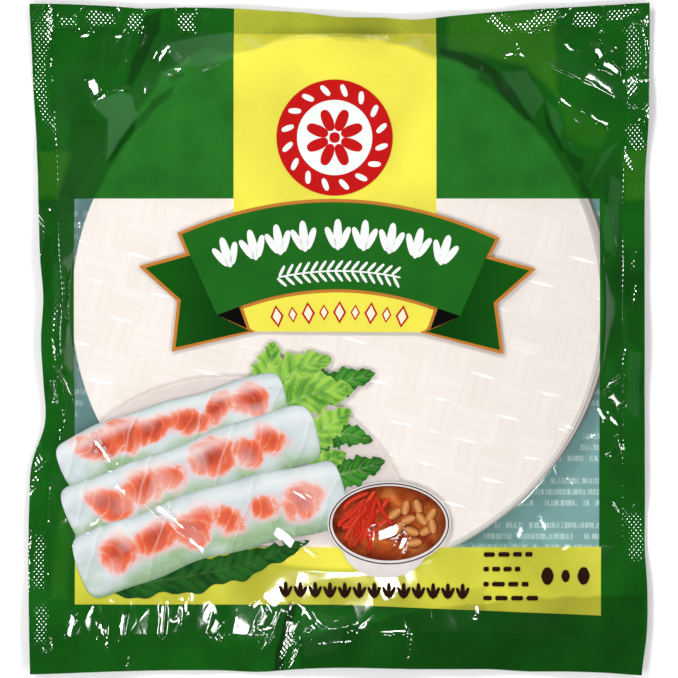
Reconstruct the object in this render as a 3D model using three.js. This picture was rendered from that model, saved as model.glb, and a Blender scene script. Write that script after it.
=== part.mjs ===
// A sealed flat film pouch holding a stack of round rice papers, lying face up.
//
// Units are millimetres and +Z is up. The pouch lies on z = 0 with its top edge towards +Y and
// its right edge towards +X, and the origin is under the middle of its box.
//
// The stack presses one round, flat-bottomed plateau out of the film. Round it the two films
// come together, falling as a skirt from the stack's top edge to the seals, and what film is
// left over stands up in puckers and folds. The whole shut pouch is one closed solid.

import * as THREE from 'three';

// ---- driving dimensions -------------------------------------------------------------------

const POUCH_WIDTH = 256.8; // across X, over the side seals
const POUCH_LENGTH = 278; // along Y, over the end seals
const STACK_DIAMETER = 220; // the standard 22 cm round sheet
const STACK_CENTRE = new THREE.Vector2(-0.8, 14.2); // the stack has slid towards the top seal
const POUCH_THICKNESS = 10.4; // over the films on the stack
const FILM_SOLID = 0.9; // least thickness of the solid where the two films lie together
const REST_INSET = 1.6; // the flat underside ends this far inside the stack's edge
const EDGE_ROUND = 2.2; // the film's bend over the stack's top edge

const SEAL = { left: 8, right: 9, top: 6.5, bottom: 15 }; // widths of the sealed bands
const SEAL_HEIGHT = 2.7; // middle height of the bands over the surface

// How far each edge is drawn in from the box by the film's slack, at even steps along it:
// from bottom to top at the sides, and from left to right at the ends.
const LEFT_DRAW = [0.7, 0.4, 0.1, 0, 0.3, 1.3, 6.8, 6.2, 5.3, 6.2, 4.9, 4.2, 3.8, 3.0, 1.9, 1.2, 0.4];
const RIGHT_DRAW = [3.3, 1.2, 1.0, 1.9, 1.9, 2.0, 2.0, 2.1, 2.1, 2.1, 2.1, 2.1, 1.7, 0.6, 0.3, 0, 0];
const TOP_DRAW = [0.4, 0.7, 1.3, 2.4, 1.9, 2.2, 3.1, 4.0, 5.9, 6.1, 7.0, 5.3, 3.8, 2.7, 1.8, 0.9, 0];
const BOTTOM_DRAW = [0.4, 0.9, 1.5, 1.8, 2.0, 1.9, 1.3, 2.5, 3.1, 3.0, 2.6, 2.5, 2.5, 1.5, 1.5, 1.0, 0];

// The long folds that stay in the film: both ends, the height of the crest (a valley is
// negative) and how far its flanks reach to each side.
const FOLDS = [
  { from: [-104, 108], to: [-98, 100], crest: 2.0, reach: 5 }, // upper left, short bright facet
  { from: [-78, 134], to: [-88, 104], crest: -1.5, reach: 5 }, // upper left, valley from the seal
  { from: [-68, 105], to: [-94, 75], crest: 1.7, reach: 5 }, // upper left, along the stack's edge
  { from: [88, 113], to: [126, 93], crest: 1.9, reach: 5 }, // upper right, ridge to the side seal
  { from: [64, 112], to: [80, 90], crest: -1.0, reach: 6 }, // upper right, S-shaped valley
  { from: [100, 128], to: [88, 122], crest: 1.6, reach: 4 }, // upper right, by the corner
  { from: [-19, -110], to: [-26, -137], crest: -1.8, reach: 5 }, // bottom, fold into the seal
  { from: [-72, -108], to: [-74, -128], crest: 1.6, reach: 4 }, // bottom left, upright ripple
  { from: [-92, -108], to: [-91, -128], crest: 1.4, reach: 4 },
  { from: [-52, -110], to: [-50, -124], crest: 1.2, reach: 4 },
  { from: [-118, -88], to: [-104, -78], crest: 1.5, reach: 5 }, // lower left, leaning out
  { from: [-120, -52], to: [-112, -62], crest: 1.3, reach: 4 }, // left, where the edge steps in
  { from: [106, -70], to: [118, -92], crest: 1.4, reach: 5 }, // lower right
  { from: [14, -118], to: [26, -132], crest: 1.2, reach: 5 }, // bottom, middle
];

const PUCKER_COUNT = 58; // upright puckers round the skirt
const PUCKER_HEIGHT = 1.15; // of a pucker in the widest part of the skirt
const FULL_SKIRT = 34; // a skirt this wide carries its puckers at full height
const CALM = { angle: -0.95, spread: 0.45, share: 0.65 }; // the skirt is smoother at the lower right

// ---- mesh steps ---------------------------------------------------------------------------

const SIDE_STEPS = { bottom: 60, right: 64, top: 60, left: 64 };
const SEAL_RINGS = 2; // rings across the sealed band
const SKIRT_RINGS = 8; // rings from the seal to the stack's edge
const PLATEAU_RINGS = [0.975, 0.88, 0.62, 0.32]; // as shares of the stack's radius

// ---- outline ------------------------------------------------------------------------------

const RADIUS = STACK_DIAMETER / 2;

// A smooth curve through evenly spaced values, as a function of 0 to 1 along the edge.
function through(values) {
  const curve = new THREE.SplineCurve(values.map((value, i) => new THREE.Vector2(i, value)));
  return (share) => curve.getPoint(THREE.MathUtils.clamp(share, 0, 1)).y;
}

const draw = {
  left: through(LEFT_DRAW),
  right: through(RIGHT_DRAW),
  top: through(TOP_DRAW),
  bottom: through(BOTTOM_DRAW),
};

// The point of the pouch at shares s across and t up, each 0 to 1: the box, drawn in by the
// slack of the nearer edges.
function pouchPoint(s, t) {
  const x = -POUCH_WIDTH / 2 + POUCH_WIDTH * s + draw.left(t) * (1 - s) - draw.right(t) * s;
  const y = -POUCH_LENGTH / 2 + POUCH_LENGTH * t + draw.bottom(s) * (1 - t) - draw.top(s) * t;
  return new THREE.Vector2(x, y);
}

// Distance inside the seals' inner line, negative on the sealed bands.
function insideSeals(p) {
  const s = (p.x + POUCH_WIDTH / 2) / POUCH_WIDTH;
  const t = (p.y + POUCH_LENGTH / 2) / POUCH_LENGTH;
  return Math.min(
    p.x + POUCH_WIDTH / 2 - draw.left(t) - SEAL.left,
    POUCH_WIDTH / 2 - draw.right(t) - p.x - SEAL.right,
    p.y + POUCH_LENGTH / 2 - draw.bottom(s) - SEAL.bottom,
    POUCH_LENGTH / 2 - draw.top(s) - p.y - SEAL.top,
  );
}

// ---- heights ------------------------------------------------------------------------------

// Share of the way down the skirt: 0 at the stack's edge and 1 at the seals.
function skirtShare(p) {
  const outside = p.distanceTo(STACK_CENTRE) - RADIUS;
  if (outside <= 0) return 0;
  return outside / (outside + Math.max(insideSeals(p), 0));
}

// The bands lie in slow waves over the surface.
function sealHeight(p) {
  const slow = 1.0 * Math.sin(0.047 * p.x + 0.9) * Math.cos(0.041 * p.y - 0.5);
  const quick = 0.45 * Math.sin(0.16 * (p.x - 0.8 * p.y));
  return SEAL_HEIGHT + slow + quick;
}

// Puckers run out from the stack like spokes. Their crests are sharp and their troughs round,
// and they die out at the stack's edge and flatten at the seals.
function puckers(p, share) {
  const angle = Math.atan2(p.y - STACK_CENTRE.y, p.x - STACK_CENTRE.x);
  const phase = 0.5 * PUCKER_COUNT * angle + 1.7 * Math.sin(5 * angle) + 0.9 * Math.sin(11 * angle + 1);
  const wave = 0.62 - Math.abs(Math.sin(phase));
  const skirt = p.distanceTo(STACK_CENTRE) - RADIUS + Math.max(insideSeals(p), 0);
  const fullness = THREE.MathUtils.clamp(skirt / FULL_SKIRT, 0.25, 1);
  const calm = 1 - CALM.share * Math.exp(-(((angle - CALM.angle) / CALM.spread) ** 2));
  const swell = Math.sin(Math.PI * Math.min(share, 0.88)) ** 0.7;
  return PUCKER_HEIGHT * fullness * calm * wave * swell;
}

// One fold is a straight crest that fades towards its ends and falls off on both sides.
function foldHeight(p, fold) {
  const from = new THREE.Vector2(...fold.from);
  const along = new THREE.Vector2(...fold.to).sub(from);
  const offset = p.clone().sub(from);
  const share = offset.dot(along) / along.lengthSq();
  const nearest = along.clone().multiplyScalar(THREE.MathUtils.clamp(share, 0, 1));
  return fold.crest * Math.exp(-((offset.distanceTo(nearest) / fold.reach) ** 1.4));
}

function folds(p) {
  return FOLDS.reduce((sum, fold) => sum + foldHeight(p, fold), 0);
}

// The top sheets are not quite flat, so the plateau swells a little.
function plateau(p) {
  const away = p.clone().sub(STACK_CENTRE);
  const swell = 0.18 * Math.sin(0.031 * away.x + 0.6) * Math.cos(0.027 * away.y);
  const inward = THREE.MathUtils.clamp(RADIUS - away.length(), 0, EDGE_ROUND);
  const bend = 0.5 * (1 - inward / EDGE_ROUND) ** 2;
  return POUCH_THICKNESS - 0.2 + swell - bend;
}

function topHeight(p) {
  const share = skirtShare(p);
  if (share === 0) return plateau(p);
  const seal = sealHeight(p);
  const edge = plateau(p);
  const skirt = seal + (edge - seal) * (1 - share) ** 1.5;
  const onSkirt = Math.min(1, share * 4);
  return skirt + (puckers(p, share) + folds(p)) * onSkirt;
}

// The back film is flat under the stack and rises to meet the front film at the seals.
function bottomHeight(p) {
  const share = skirtShare(p);
  const back = (sealHeight(p) - FILM_SOLID) * share ** 1.3;
  return THREE.MathUtils.clamp(back, 0.35, topHeight(p) - FILM_SOLID);
}

// ---- the closed solid ---------------------------------------------------------------------

// The shares (s, t) of evenly spaced points round the pouch, counter-clockwise from the lower left.
function roundTheEdge() {
  const shares = [];
  const side = (steps, at) => {
    for (let i = 0; i < steps; i += 1) shares.push(at(i / steps));
  };
  side(SIDE_STEPS.bottom, (k) => [k, 0]);
  side(SIDE_STEPS.right, (k) => [1, k]);
  side(SIDE_STEPS.top, (k) => [1 - k, 1]);
  side(SIDE_STEPS.left, (k) => [0, 1 - k]);
  return shares;
}

// A ring of the sealed band: inward is 0 at the cut edge and 1 at the inner line.
function sealRing(inward) {
  return roundTheEdge().map(([s, t]) => {
    const x = THREE.MathUtils.lerp(SEAL.left * inward, POUCH_WIDTH - SEAL.right * inward, s);
    const y = THREE.MathUtils.lerp(SEAL.bottom * inward, POUCH_LENGTH - SEAL.top * inward, t);
    return pouchPoint(x / POUCH_WIDTH, y / POUCH_LENGTH);
  });
}

// A ring round the stack's centre through the same spokes, at a share of the stack's radius.
function roundRing(sealLine, radiusShare) {
  return sealLine.map((p) => {
    const spoke = p.clone().sub(STACK_CENTRE).normalize();
    return STACK_CENTRE.clone().addScaledVector(spoke, RADIUS * radiusShare);
  });
}

function between(outer, inner, share) {
  return outer.map((p, i) => p.clone().lerp(inner[i], share));
}

// Collects rings of vertices and the triangles between them.
class RingMesh {
  constructor() {
    this.positions = [];
    this.triangles = [];
  }

  ring(points, heightAt) {
    const first = this.positions.length / 3;
    points.forEach((p) => this.positions.push(p.x, p.y, heightAt(p)));
    return { first, count: points.length };
  }

  // Joins two rings of one count, or closes onto a ring of half the count.
  join(outer, inner, facesUp) {
    const halved = inner.count * 2 === outer.count;
    for (let i = 0; i < outer.count; i += 1) {
      const a = outer.first + i;
      const b = outer.first + ((i + 1) % outer.count);
      const c = inner.first + (halved ? Math.floor(i / 2) : i);
      const d = inner.first + ((halved ? Math.floor((i + 1) / 2) : i + 1) % inner.count);
      this.face(a, b, d, facesUp);
      if (c !== d) this.face(a, d, c, facesUp);
    }
  }

  fan(ring, centre, facesUp) {
    const middle = this.positions.length / 3;
    this.positions.push(centre.x, centre.y, centre.z);
    for (let i = 0; i < ring.count; i += 1) {
      this.face(ring.first + i, ring.first + ((i + 1) % ring.count), middle, facesUp);
    }
  }

  face(a, b, c, facesUp) {
    if (facesUp) this.triangles.push(a, b, c);
    else this.triangles.push(a, c, b);
  }

  geometry() {
    const geometry = new THREE.BufferGeometry();
    geometry.setAttribute('position', new THREE.Float32BufferAttribute(this.positions, 3));
    geometry.setIndex(this.triangles);
    geometry.computeVertexNormals();
    return geometry;
  }
}

function everySecond(points) {
  return points.filter((_, i) => i % 2 === 0);
}

function pouchGeometry() {
  const mesh = new RingMesh();
  const sealLine = sealRing(1);
  const stackEdge = roundRing(sealLine, 1);

  // Front film: from the cut edge over the band and the skirt onto the plateau.
  const cutEdge = mesh.ring(sealRing(0), topHeight);
  let ring = cutEdge;
  const next = (points) => {
    const inner = mesh.ring(points, topHeight);
    mesh.join(ring, inner, true);
    ring = inner;
  };
  for (let k = 1; k <= SEAL_RINGS; k += 1) next(sealRing(k / SEAL_RINGS));
  for (let k = 1; k <= SKIRT_RINGS; k += 1) next(between(sealLine, stackEdge, k / SKIRT_RINGS));
  next(roundRing(sealLine, PLATEAU_RINGS[0]));
  const spokes = everySecond(sealLine);
  PLATEAU_RINGS.slice(1).forEach((share) => next(roundRing(spokes, share)));
  const middle = new THREE.Vector3(STACK_CENTRE.x, STACK_CENTRE.y, plateau(STACK_CENTRE));
  mesh.fan(ring, middle, true);

  // Back film: from the cut edge under the band and the skirt to the flat round it rests on.
  const underEdge = mesh.ring(sealRing(0), bottomHeight);
  mesh.join(underEdge, cutEdge, true);
  const underSeal = mesh.ring(sealLine, bottomHeight);
  mesh.join(underEdge, underSeal, false);
  const underSkirt = mesh.ring(between(sealLine, stackEdge, 0.5), bottomHeight);
  mesh.join(underSeal, underSkirt, false);
  const restEdge = mesh.ring(roundRing(sealLine, 1 - REST_INSET / RADIUS), () => 0);
  mesh.join(underSkirt, restEdge, false);
  mesh.fan(restEdge, new THREE.Vector3(STACK_CENTRE.x, STACK_CENTRE.y, 0), false);

  return mesh.geometry();
}

// ---- the part -----------------------------------------------------------------------------

const printedFilm = new THREE.MeshStandardMaterial({ color: 0x2f7d32, roughness: 0.22, metalness: 0 });

const group = new THREE.Group();
const pouch = new THREE.Mesh(pouchGeometry(), printedFilm);
pouch.name = 'pouch';
group.add(pouch);

export default group;
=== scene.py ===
# %% [markdown]
# # A sealed pouch of round rice papers
#
# The real thing is a flat bag of glossy plastic film, sealed along all four edges, with a stack
# of round dry rice papers inside. Ink covers the margins and leaves a clear window over the
# sheets. The film is far too large for its contents, so it puckers, folds and glints.
#
# The measured solid is loaded first and never moved. Everything shown here is built over it:
# the films, the sheets that show through the window, and the printed shapes.

# %% Load the frame
import math

import bpy
import numpy as np
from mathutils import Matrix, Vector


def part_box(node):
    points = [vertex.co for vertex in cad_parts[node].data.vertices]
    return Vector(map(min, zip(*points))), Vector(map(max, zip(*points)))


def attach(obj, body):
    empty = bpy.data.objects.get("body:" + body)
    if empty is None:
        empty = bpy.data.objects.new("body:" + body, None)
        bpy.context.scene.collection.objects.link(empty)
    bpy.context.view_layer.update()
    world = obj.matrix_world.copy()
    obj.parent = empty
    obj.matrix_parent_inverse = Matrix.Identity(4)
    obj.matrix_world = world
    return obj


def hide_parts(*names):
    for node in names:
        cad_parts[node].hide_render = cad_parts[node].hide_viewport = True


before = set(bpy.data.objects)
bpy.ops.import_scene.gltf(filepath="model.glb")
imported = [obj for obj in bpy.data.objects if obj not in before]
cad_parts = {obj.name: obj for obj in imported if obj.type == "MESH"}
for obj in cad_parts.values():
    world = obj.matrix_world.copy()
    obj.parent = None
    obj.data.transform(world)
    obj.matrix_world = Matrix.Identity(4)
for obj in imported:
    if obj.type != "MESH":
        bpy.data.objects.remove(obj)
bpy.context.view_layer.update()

MM = 0.001
low, high = (np.array(corner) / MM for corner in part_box("pouch"))
POUCH_WIDTH, POUCH_LENGTH, POUCH_THICKNESS = high - low
print("pouch in mm:", round(POUCH_WIDTH, 1), round(POUCH_LENGTH, 1), round(POUCH_THICKNESS, 1))

# %% Directions


def heading(degrees):
    """The cosine and sine of a direction in degrees."""
    return math.cos(math.radians(degrees)), math.sin(math.radians(degrees))


def turned(x, y, degrees):
    """Distances along a direction in degrees and to its left, from offsets in x and y."""
    c, s = heading(degrees)
    return x * c + y * s, y * c - x * s


# %% [markdown]
# ## How materials are written
#
# A material is a small chain of nodes. One helper adds a node, sets its properties and fills
# its inputs, so that each material below reads as a list of what it is made of. Colours are
# written as the hex values a printer would use and turned to the linear values Blender mixes.

# %% Material helpers


def linear(hex_colour):
    """sRGB hex to linear RGBA: the low end divides by 12.92, the rest is a 2.4 power curve."""
    values = [int(hex_colour[i : i + 2], 16) / 255 for i in (1, 3, 5)]
    return [v / 12.92 if v <= 0.04045 else ((v + 0.055) / 1.055) ** 2.4 for v in values] + [1.0]


def node(tree, kind, inputs=(), stops=(), **settings):
    """Adds a shader node. Its inputs are named, or fill the sockets in use in their order.

    An input given a node or socket is linked to it, and a value is set. Stops are the places
    and hex colours of a ramp.
    """
    made = tree.nodes.new("ShaderNode" + kind)
    for name, value in settings.items():
        setattr(made, name, value)
    for _ in stops[2:]:
        made.color_ramp.elements.new(0.5)
    for element, (place, hex_colour) in zip(made.color_ramp.elements if stops else (), stops):
        element.position = place
        element.color = linear(hex_colour)
    if isinstance(inputs, dict):
        pairs = [(made.inputs[name], value) for name, value in inputs.items()]
    else:
        pairs = list(zip([socket for socket in made.inputs if socket.enabled], inputs))
    for socket, value in pairs:
        if isinstance(value, bpy.types.Node):
            value = next(output for output in value.outputs if output.enabled)
        if isinstance(value, bpy.types.NodeSocket):
            tree.links.new(value, socket)
        else:
            socket.default_value = value
    return made


def material(name):
    """An empty material and its node tree."""
    made = bpy.data.materials.new(name)
    made.use_nodes = True
    made.node_tree.nodes.clear()
    return made, made.node_tree


def place_on_piece(tree):
    """The x, y and z of a point of the piece, in m."""
    return node(tree, "SeparateXYZ", (node(tree, "TexCoord").outputs["Object"],)).outputs


def tone_of(tree):
    """The three numbers that each point of a piece keeps for its material."""
    vector = node(tree, "Attribute", attribute_name="shares").outputs["Vector"]
    return node(tree, "SeparateXYZ", (vector,)).outputs


def mottled(tree, hex_colour, amount, size_mm):
    """A colour that drifts a little lighter and darker in patches of a size in mm."""
    place = node(tree, "TexCoord").outputs["Object"]
    noise = node(tree, "TexNoise", {"Vector": place, "Scale": 1 / (size_mm * MM), "Detail": 3.0})
    value = node(tree, "MapRange", (noise, 0.3, 0.7, 1 - amount, 1 + amount))
    return node(tree, "HueSaturation", {"Color": linear(hex_colour), "Value": value})


# %% [markdown]
# ## Camera and light
#
# The camera looks straight down through a long lens, so that the pack's edges stay parallel. A
# wide lens close by would make the stack look wider than its margins.
#
# Clear film only shows where it mirrors something bright. A dim room keeps the flat film clear,
# broad soft lights give the paper its even tone, and a few small strong ones at the sides are
# what the creases catch as white lines.
#
# Some of the small lamps serve one part of the film alone. Light linking lets a lamp light only
# the pieces of its own group: the knurled seals, the film over the window or the foot of the
# pouch. So each can be placed and sized for the highlights it makes there. The front film casts
# no shadow, which keeps the tone of the sheets right under it even.

# %% Camera
VIEW_SPAN = 279.0 * MM
CAMERA_HEIGHT = 1.7
SENSOR_WIDTH = 36
camera_data = bpy.data.cameras.new("camera")
camera_data.sensor_width = SENSOR_WIDTH
camera_data.lens = SENSOR_WIDTH * (CAMERA_HEIGHT - high[2] * MM) / VIEW_SPAN
camera_data.clip_start = 0.01
camera = bpy.data.objects.new("camera", camera_data)
camera.location = (0, 0, CAMERA_HEIGHT)
bpy.context.scene.collection.objects.link(camera)
bpy.context.scene.camera = camera
print("lens in mm:", round(camera_data.lens))

# %% Lights
bpy.context.scene.view_settings.view_transform = "Standard"

LIGHTS = {
    # azimuth and elevation in degrees, distance, width and height in m, radiance. Azimuth 0 is
    # at the right of the pouch and 90 behind its top edge
    "strip_back_right": (43, 35, 1.5, 0.26, 0.10, 50),
    "strip_back_left": (124, 36, 1.5, 0.26, 0.10, 50),
    "strip_front_left": (228, 43, 1.5, 0.26, 0.10, 50),
    "strip_front_right": (316, 41, 1.5, 0.26, 0.10, 50),
    "seal_left": (180, 47, 1.5, 0.26, 0.20, 85),
    "seal_back": (90, 47, 1.5, 0.26, 0.20, 85),
    "seal_right": (0, 47, 1.5, 0.26, 0.20, 85),
    "window_front": (256, 60, 1.5, 0.60, 0.42, 26),
    "foot_left": (222, 52, 1.5, 0.34, 0.12, 45),
    "foot_right": (322, 52, 1.5, 0.34, 0.12, 45),
    "foot_front": (275, 48, 1.5, 0.34, 0.12, 45),
    "key": (125, 36, 1.3, 0.6, 0.35, 6.4),
    "fill_front": (270, 40, 1.6, 0.9, 0.5, 3.1),
    "fill_left": (190, 40, 1.6, 0.9, 0.5, 3.3),
    "fill_right": (0, 40, 1.6, 0.9, 0.5, 2.6),
}
UNMIRRORED = ("key", "fill_front", "fill_left", "fill_right")
LINKED = {name: bpy.data.collections.new("lit_by_" + name) for name in ("seal", "window", "foot")}
UNSHADED = bpy.data.collections.new("casts_no_shadow")


def lamp_place(azimuth, elevation, distance):
    """Where a lamp stands in m, from two angles in degrees and its distance."""
    (c, s), (level, rise) = heading(azimuth), heading(elevation)
    return distance * level * c, distance * level * s, distance * rise


def area_light(name, azimuth, elevation, distance, width, height, radiance):
    """A rectangle of light aimed at the pouch. Its power is four times area times radiance."""
    data = bpy.data.lights.new(name, "AREA")
    data.shape = "RECTANGLE"
    data.size = width
    data.size_y = height
    data.energy = 4 * width * height * radiance
    light = bpy.data.objects.new(name, data)
    light.location = lamp_place(azimuth, elevation, distance)
    light.rotation_euler = (math.radians(90 - elevation), 0, math.radians(azimuth + 90))
    light.visible_glossy = name not in UNMIRRORED
    group = LINKED.get(name.split("_")[0])
    if group:
        light.light_linking.receiver_collection = group
        light.visible_diffuse = False
    light.light_linking.blocker_collection = UNSHADED
    bpy.context.scene.collection.objects.link(light)


for light_name, values in LIGHTS.items():
    area_light(light_name, *values)
print("lights:", len(LIGHTS))

# %% [markdown]
# The room itself is a pale tent that is dark only around the lens, where the camera looks
# through it. Level film mirrors that dark hole and keeps its full colour, and film that tilts
# a few degrees mirrors the tent and turns paler, which is how the broad facets show.

# %% World
world = bpy.data.worlds.new("studio")
world.use_nodes = True
tree = world.node_tree
tree.nodes.clear()
direction = node(tree, "TexCoord").outputs["Generated"]
height = node(tree, "SeparateXYZ", (direction,)).outputs[2]
tent = node(tree, "MapRange", (height, 0.98, 0.7, 0.06, 0.15))
lean = node(tree, "VectorMath", (direction, (-0.5, 0.35, 0.0)), operation="DOT_PRODUCT")
side = node(tree, "Math", (lean, 1.0), operation="ADD")
strength = node(tree, "Math", (tent, side), operation="MULTIPLY")
back = node(tree, "Background", {"Color": (1, 1, 1, 1), "Strength": strength})
node(tree, "OutputWorld", {"Surface": back})
bpy.context.scene.world = world
print("world nodes:", len(tree.nodes))

# %% [markdown]
# ## The form of the film
#
# The outline, the skirt that falls from the stack to the seals, the puckers and the long folds
# repeat the solid's own formulas, so the film lies where the solid is. Cloth simulation could
# make wrinkles too, but they would fall at random. Written as formulas, each fold stays where
# the real pouch has it, and a finer grid only makes the same surface smoother.

# %% Outline and seals
STACK_RADIUS = 110.0
STACK_X, STACK_Y = -0.8, 14.2
SEAL_LEFT, SEAL_RIGHT, SEAL_TOP, SEAL_BOTTOM = 8.0, 9.0, 6.5, 15.0
# The top jaw is straight, so its inner line is level
TOP_LINE = 126.2
# How far each edge is drawn in, in mm, at even steps along it
LEFT_DRAW = (0.7, 0.4, 0.1, 0, 0.3, 1.3, 6.8, 6.2, 5.3, 6.2, 4.9, 4.2, 3.8, 3.0, 1.9, 1.2, 0.4)
RIGHT_DRAW = (3.3, 1.2, 1.0, 1.9, 1.9, 2.0, 2.0, 2.1, 2.1, 2.1, 2.1, 2.1, 1.7, 0.6, 0.3, 0, 0)
TOP_DRAW = (0.4, 0.7, 1.3, 2.4, 1.9, 2.2, 3.1, 4.0, 5.9, 6.1, 7.0, 5.3, 3.8, 2.7, 1.8, 0.9, 0)
BOTTOM_DRAW = (0.4, 0.9, 1.5, 1.8, 2.0, 1.9, 1.3, 2.5, 3.1, 3.0, 2.6, 2.5, 2.5, 1.5, 1.5, 1.0, 0)


def through(values, share):
    """A smooth curve through even steps: a cubic on each step, its slopes from the neighbours."""
    padded = np.concatenate([values[:1], values, values[-1:]])
    place = np.clip(share, 0, 1) * (len(values) - 1)
    step = np.minimum(place.astype(int), len(values) - 2)
    f = place - step
    a, b, c, d = (padded[step + k] for k in range(4))
    return b + 0.5 * f * (c - a + f * (2 * a - 5 * b + 4 * c - d + f * (3 * (b - c) + d - a)))


def pouch_point(s, t):
    """Shares across and up to mm: the box, drawn in by the slack of the nearer edges."""
    x = low[0] + POUCH_WIDTH * s + through(LEFT_DRAW, t) * (1 - s) - through(RIGHT_DRAW, t) * s
    y = low[1] + POUCH_LENGTH * t + through(BOTTOM_DRAW, s) * (1 - t) - through(TOP_DRAW, s) * t
    return x, y


def inside_seals(x, y):
    """Distance in mm inside the nearest seal's inner line, negative on the sealed bands."""
    s = (x - low[0]) / POUCH_WIDTH
    t = (y - low[1]) / POUCH_LENGTH
    return np.minimum.reduce(
        [
            x - low[0] - through(LEFT_DRAW, t) - SEAL_LEFT,
            high[0] - through(RIGHT_DRAW, t) - x - SEAL_RIGHT,
            y - low[1] - through(BOTTOM_DRAW, s) - SEAL_BOTTOM,
            high[1] - through(TOP_DRAW, s) - y - SEAL_TOP,
            TOP_LINE - y,
        ]
    )


# %% Skirt, puckers and folds, as in the solid
FOLDS = (
    # both ends, height of the crest, reach of its flanks
    (-104, 108, -98, 100, 2.0, 5),
    (-78, 134, -88, 104, -1.5, 5),
    (-68, 105, -94, 75, 1.7, 5),
    (88, 113, 126, 93, 1.9, 5),
    (64, 112, 80, 90, -1.0, 6),
    (100, 128, 88, 122, 1.6, 4),
    (-19, -110, -26, -137, -1.8, 5),
    (-72, -108, -74, -128, 1.6, 4),
    (-92, -108, -91, -128, 1.4, 4),
    (-52, -110, -50, -124, 1.2, 4),
    (-118, -88, -104, -78, 1.5, 5),
    (-120, -52, -112, -62, 1.3, 4),
    (106, -70, 118, -92, 1.4, 5),
    (14, -118, 26, -132, 1.2, 5),
)
PUCKER_COUNT = 58
PUCKER_HEIGHT = 1.15
FULL_SKIRT = 34.0
SEAL_HEIGHT = 2.7


def from_stack(x, y):
    """Distance in mm from the middle of the stack."""
    return np.hypot(x - STACK_X, y - STACK_Y)


def skirt_share(x, y):
    """0 on the stack, growing to 1 at the seals: the way from the stack over the whole way."""
    outside = np.maximum(from_stack(x, y) - STACK_RADIUS, 0)
    return outside / (outside + np.maximum(inside_seals(x, y), 0) + 1e-9)


def seal_height(x, y):
    """The bands' slow waves over the surface: a broad product of sines and a quick diagonal one."""
    slow = np.sin(0.047 * x + 0.9) * np.cos(0.041 * y - 0.5)
    return SEAL_HEIGHT + slow + 0.45 * np.sin(0.16 * (x - 0.8 * y))


def puckers(x, y, share):
    """Spokes round the stack: sharp crests of 0.62 - |sin|, fullest in the widest skirt."""
    angle = np.arctan2(y - STACK_Y, x - STACK_X)
    phase = 0.5 * PUCKER_COUNT * angle + 1.7 * np.sin(5 * angle) + 0.9 * np.sin(11 * angle + 1)
    skirt = from_stack(x, y) - STACK_RADIUS + np.maximum(inside_seals(x, y), 0)
    fullness = np.clip(skirt / FULL_SKIRT, 0.25, 1)
    calm = 1 - 0.65 * np.exp(-(((angle + 0.95) / 0.45) ** 2))
    swell = np.sin(np.pi * np.minimum(share, 0.88)) ** 0.7
    return PUCKER_HEIGHT * fullness * calm * swell * (0.62 - np.abs(np.sin(phase)))


def folds(x, y):
    """Straight crests: height times exp(-(distance / reach) ^ 1.4) from each fold's line."""
    total = np.zeros_like(x)
    for x0, y0, x1, y1, crest, reach in FOLDS:
        along = (x - x0) * (x1 - x0) + (y - y0) * (y1 - y0)
        share = np.clip(along / ((x1 - x0) ** 2 + (y1 - y0) ** 2), 0, 1)
        off = np.hypot(x - x0 - share * (x1 - x0), y - y0 - share * (y1 - y0))
        total += crest * np.exp(-((off / reach) ** 1.4))
    return total


print("folds:", len(FOLDS))

# %% [markdown]
# ## Fine wrinkles
#
# Film does not crumple like cloth. It stays flat between sharp creases, and where two creases
# meet it kinks into small crescents, and those are what glints. So the fine relief is made of
# four things: slow swells, flat facets from crossed triangle waves, many short creases whose
# crest is a bent line with steep flanks, and a few small plates.
#
# A plate is a patch of film that happens to lie at the one slope that mirrors a lamp into the
# lens. Leaving those to chance would scatter them anywhere, so each is given its place, its
# size and its lamp, and the slope it needs is worked out from the two directions.

# %% Swells and facets


def swell(x, y, size, seed):
    """Smooth noise, -1 to 1: random heights on a lattice of a size in mm, eased between them."""
    heights = np.random.default_rng(seed).uniform(-1, 1, (64, 64))
    u, v = x / size + 20.5, y / size + 20.5
    i, j = np.floor(u).astype(int), np.floor(v).astype(int)
    f, g = u - i, v - j
    f, g = f * f * (3 - 2 * f), g * g * (3 - 2 * g)
    below = heights[j % 64, i % 64] * (1 - f) + heights[j % 64, (i + 1) % 64] * f
    above = heights[(j + 1) % 64, i % 64] * (1 - f) + heights[(j + 1) % 64, (i + 1) % 64] * f
    return below * (1 - g) + above * g


def spot(x, y, cx, cy, rx, ry):
    """A soft ellipse: 1 at its middle, falling off as a bell to nothing outside."""
    return np.exp(-(((x - cx) / rx) ** 2) - ((y - cy) / ry) ** 2)


def restless(x, y):
    """How crumpled the film is: more in the top corners and lower left, calm at lower right."""
    busy = 0.75 * spot(x, y, -98, 105, 34, 36) + 0.75 * spot(x, y, 96, 104, 38, 36)
    busy += 0.6 * spot(x, y, -100, -112, 46, 34) + 0.5 * spot(x, y, -12, -125, 34, 14)
    calm = 0.8 * spot(x, y, 66, -128, 52, 16) + 0.5 * spot(x, y, 118, 30, 10, 60)
    return np.clip(0.5 + busy - calm, 0.08, 1.3)


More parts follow.
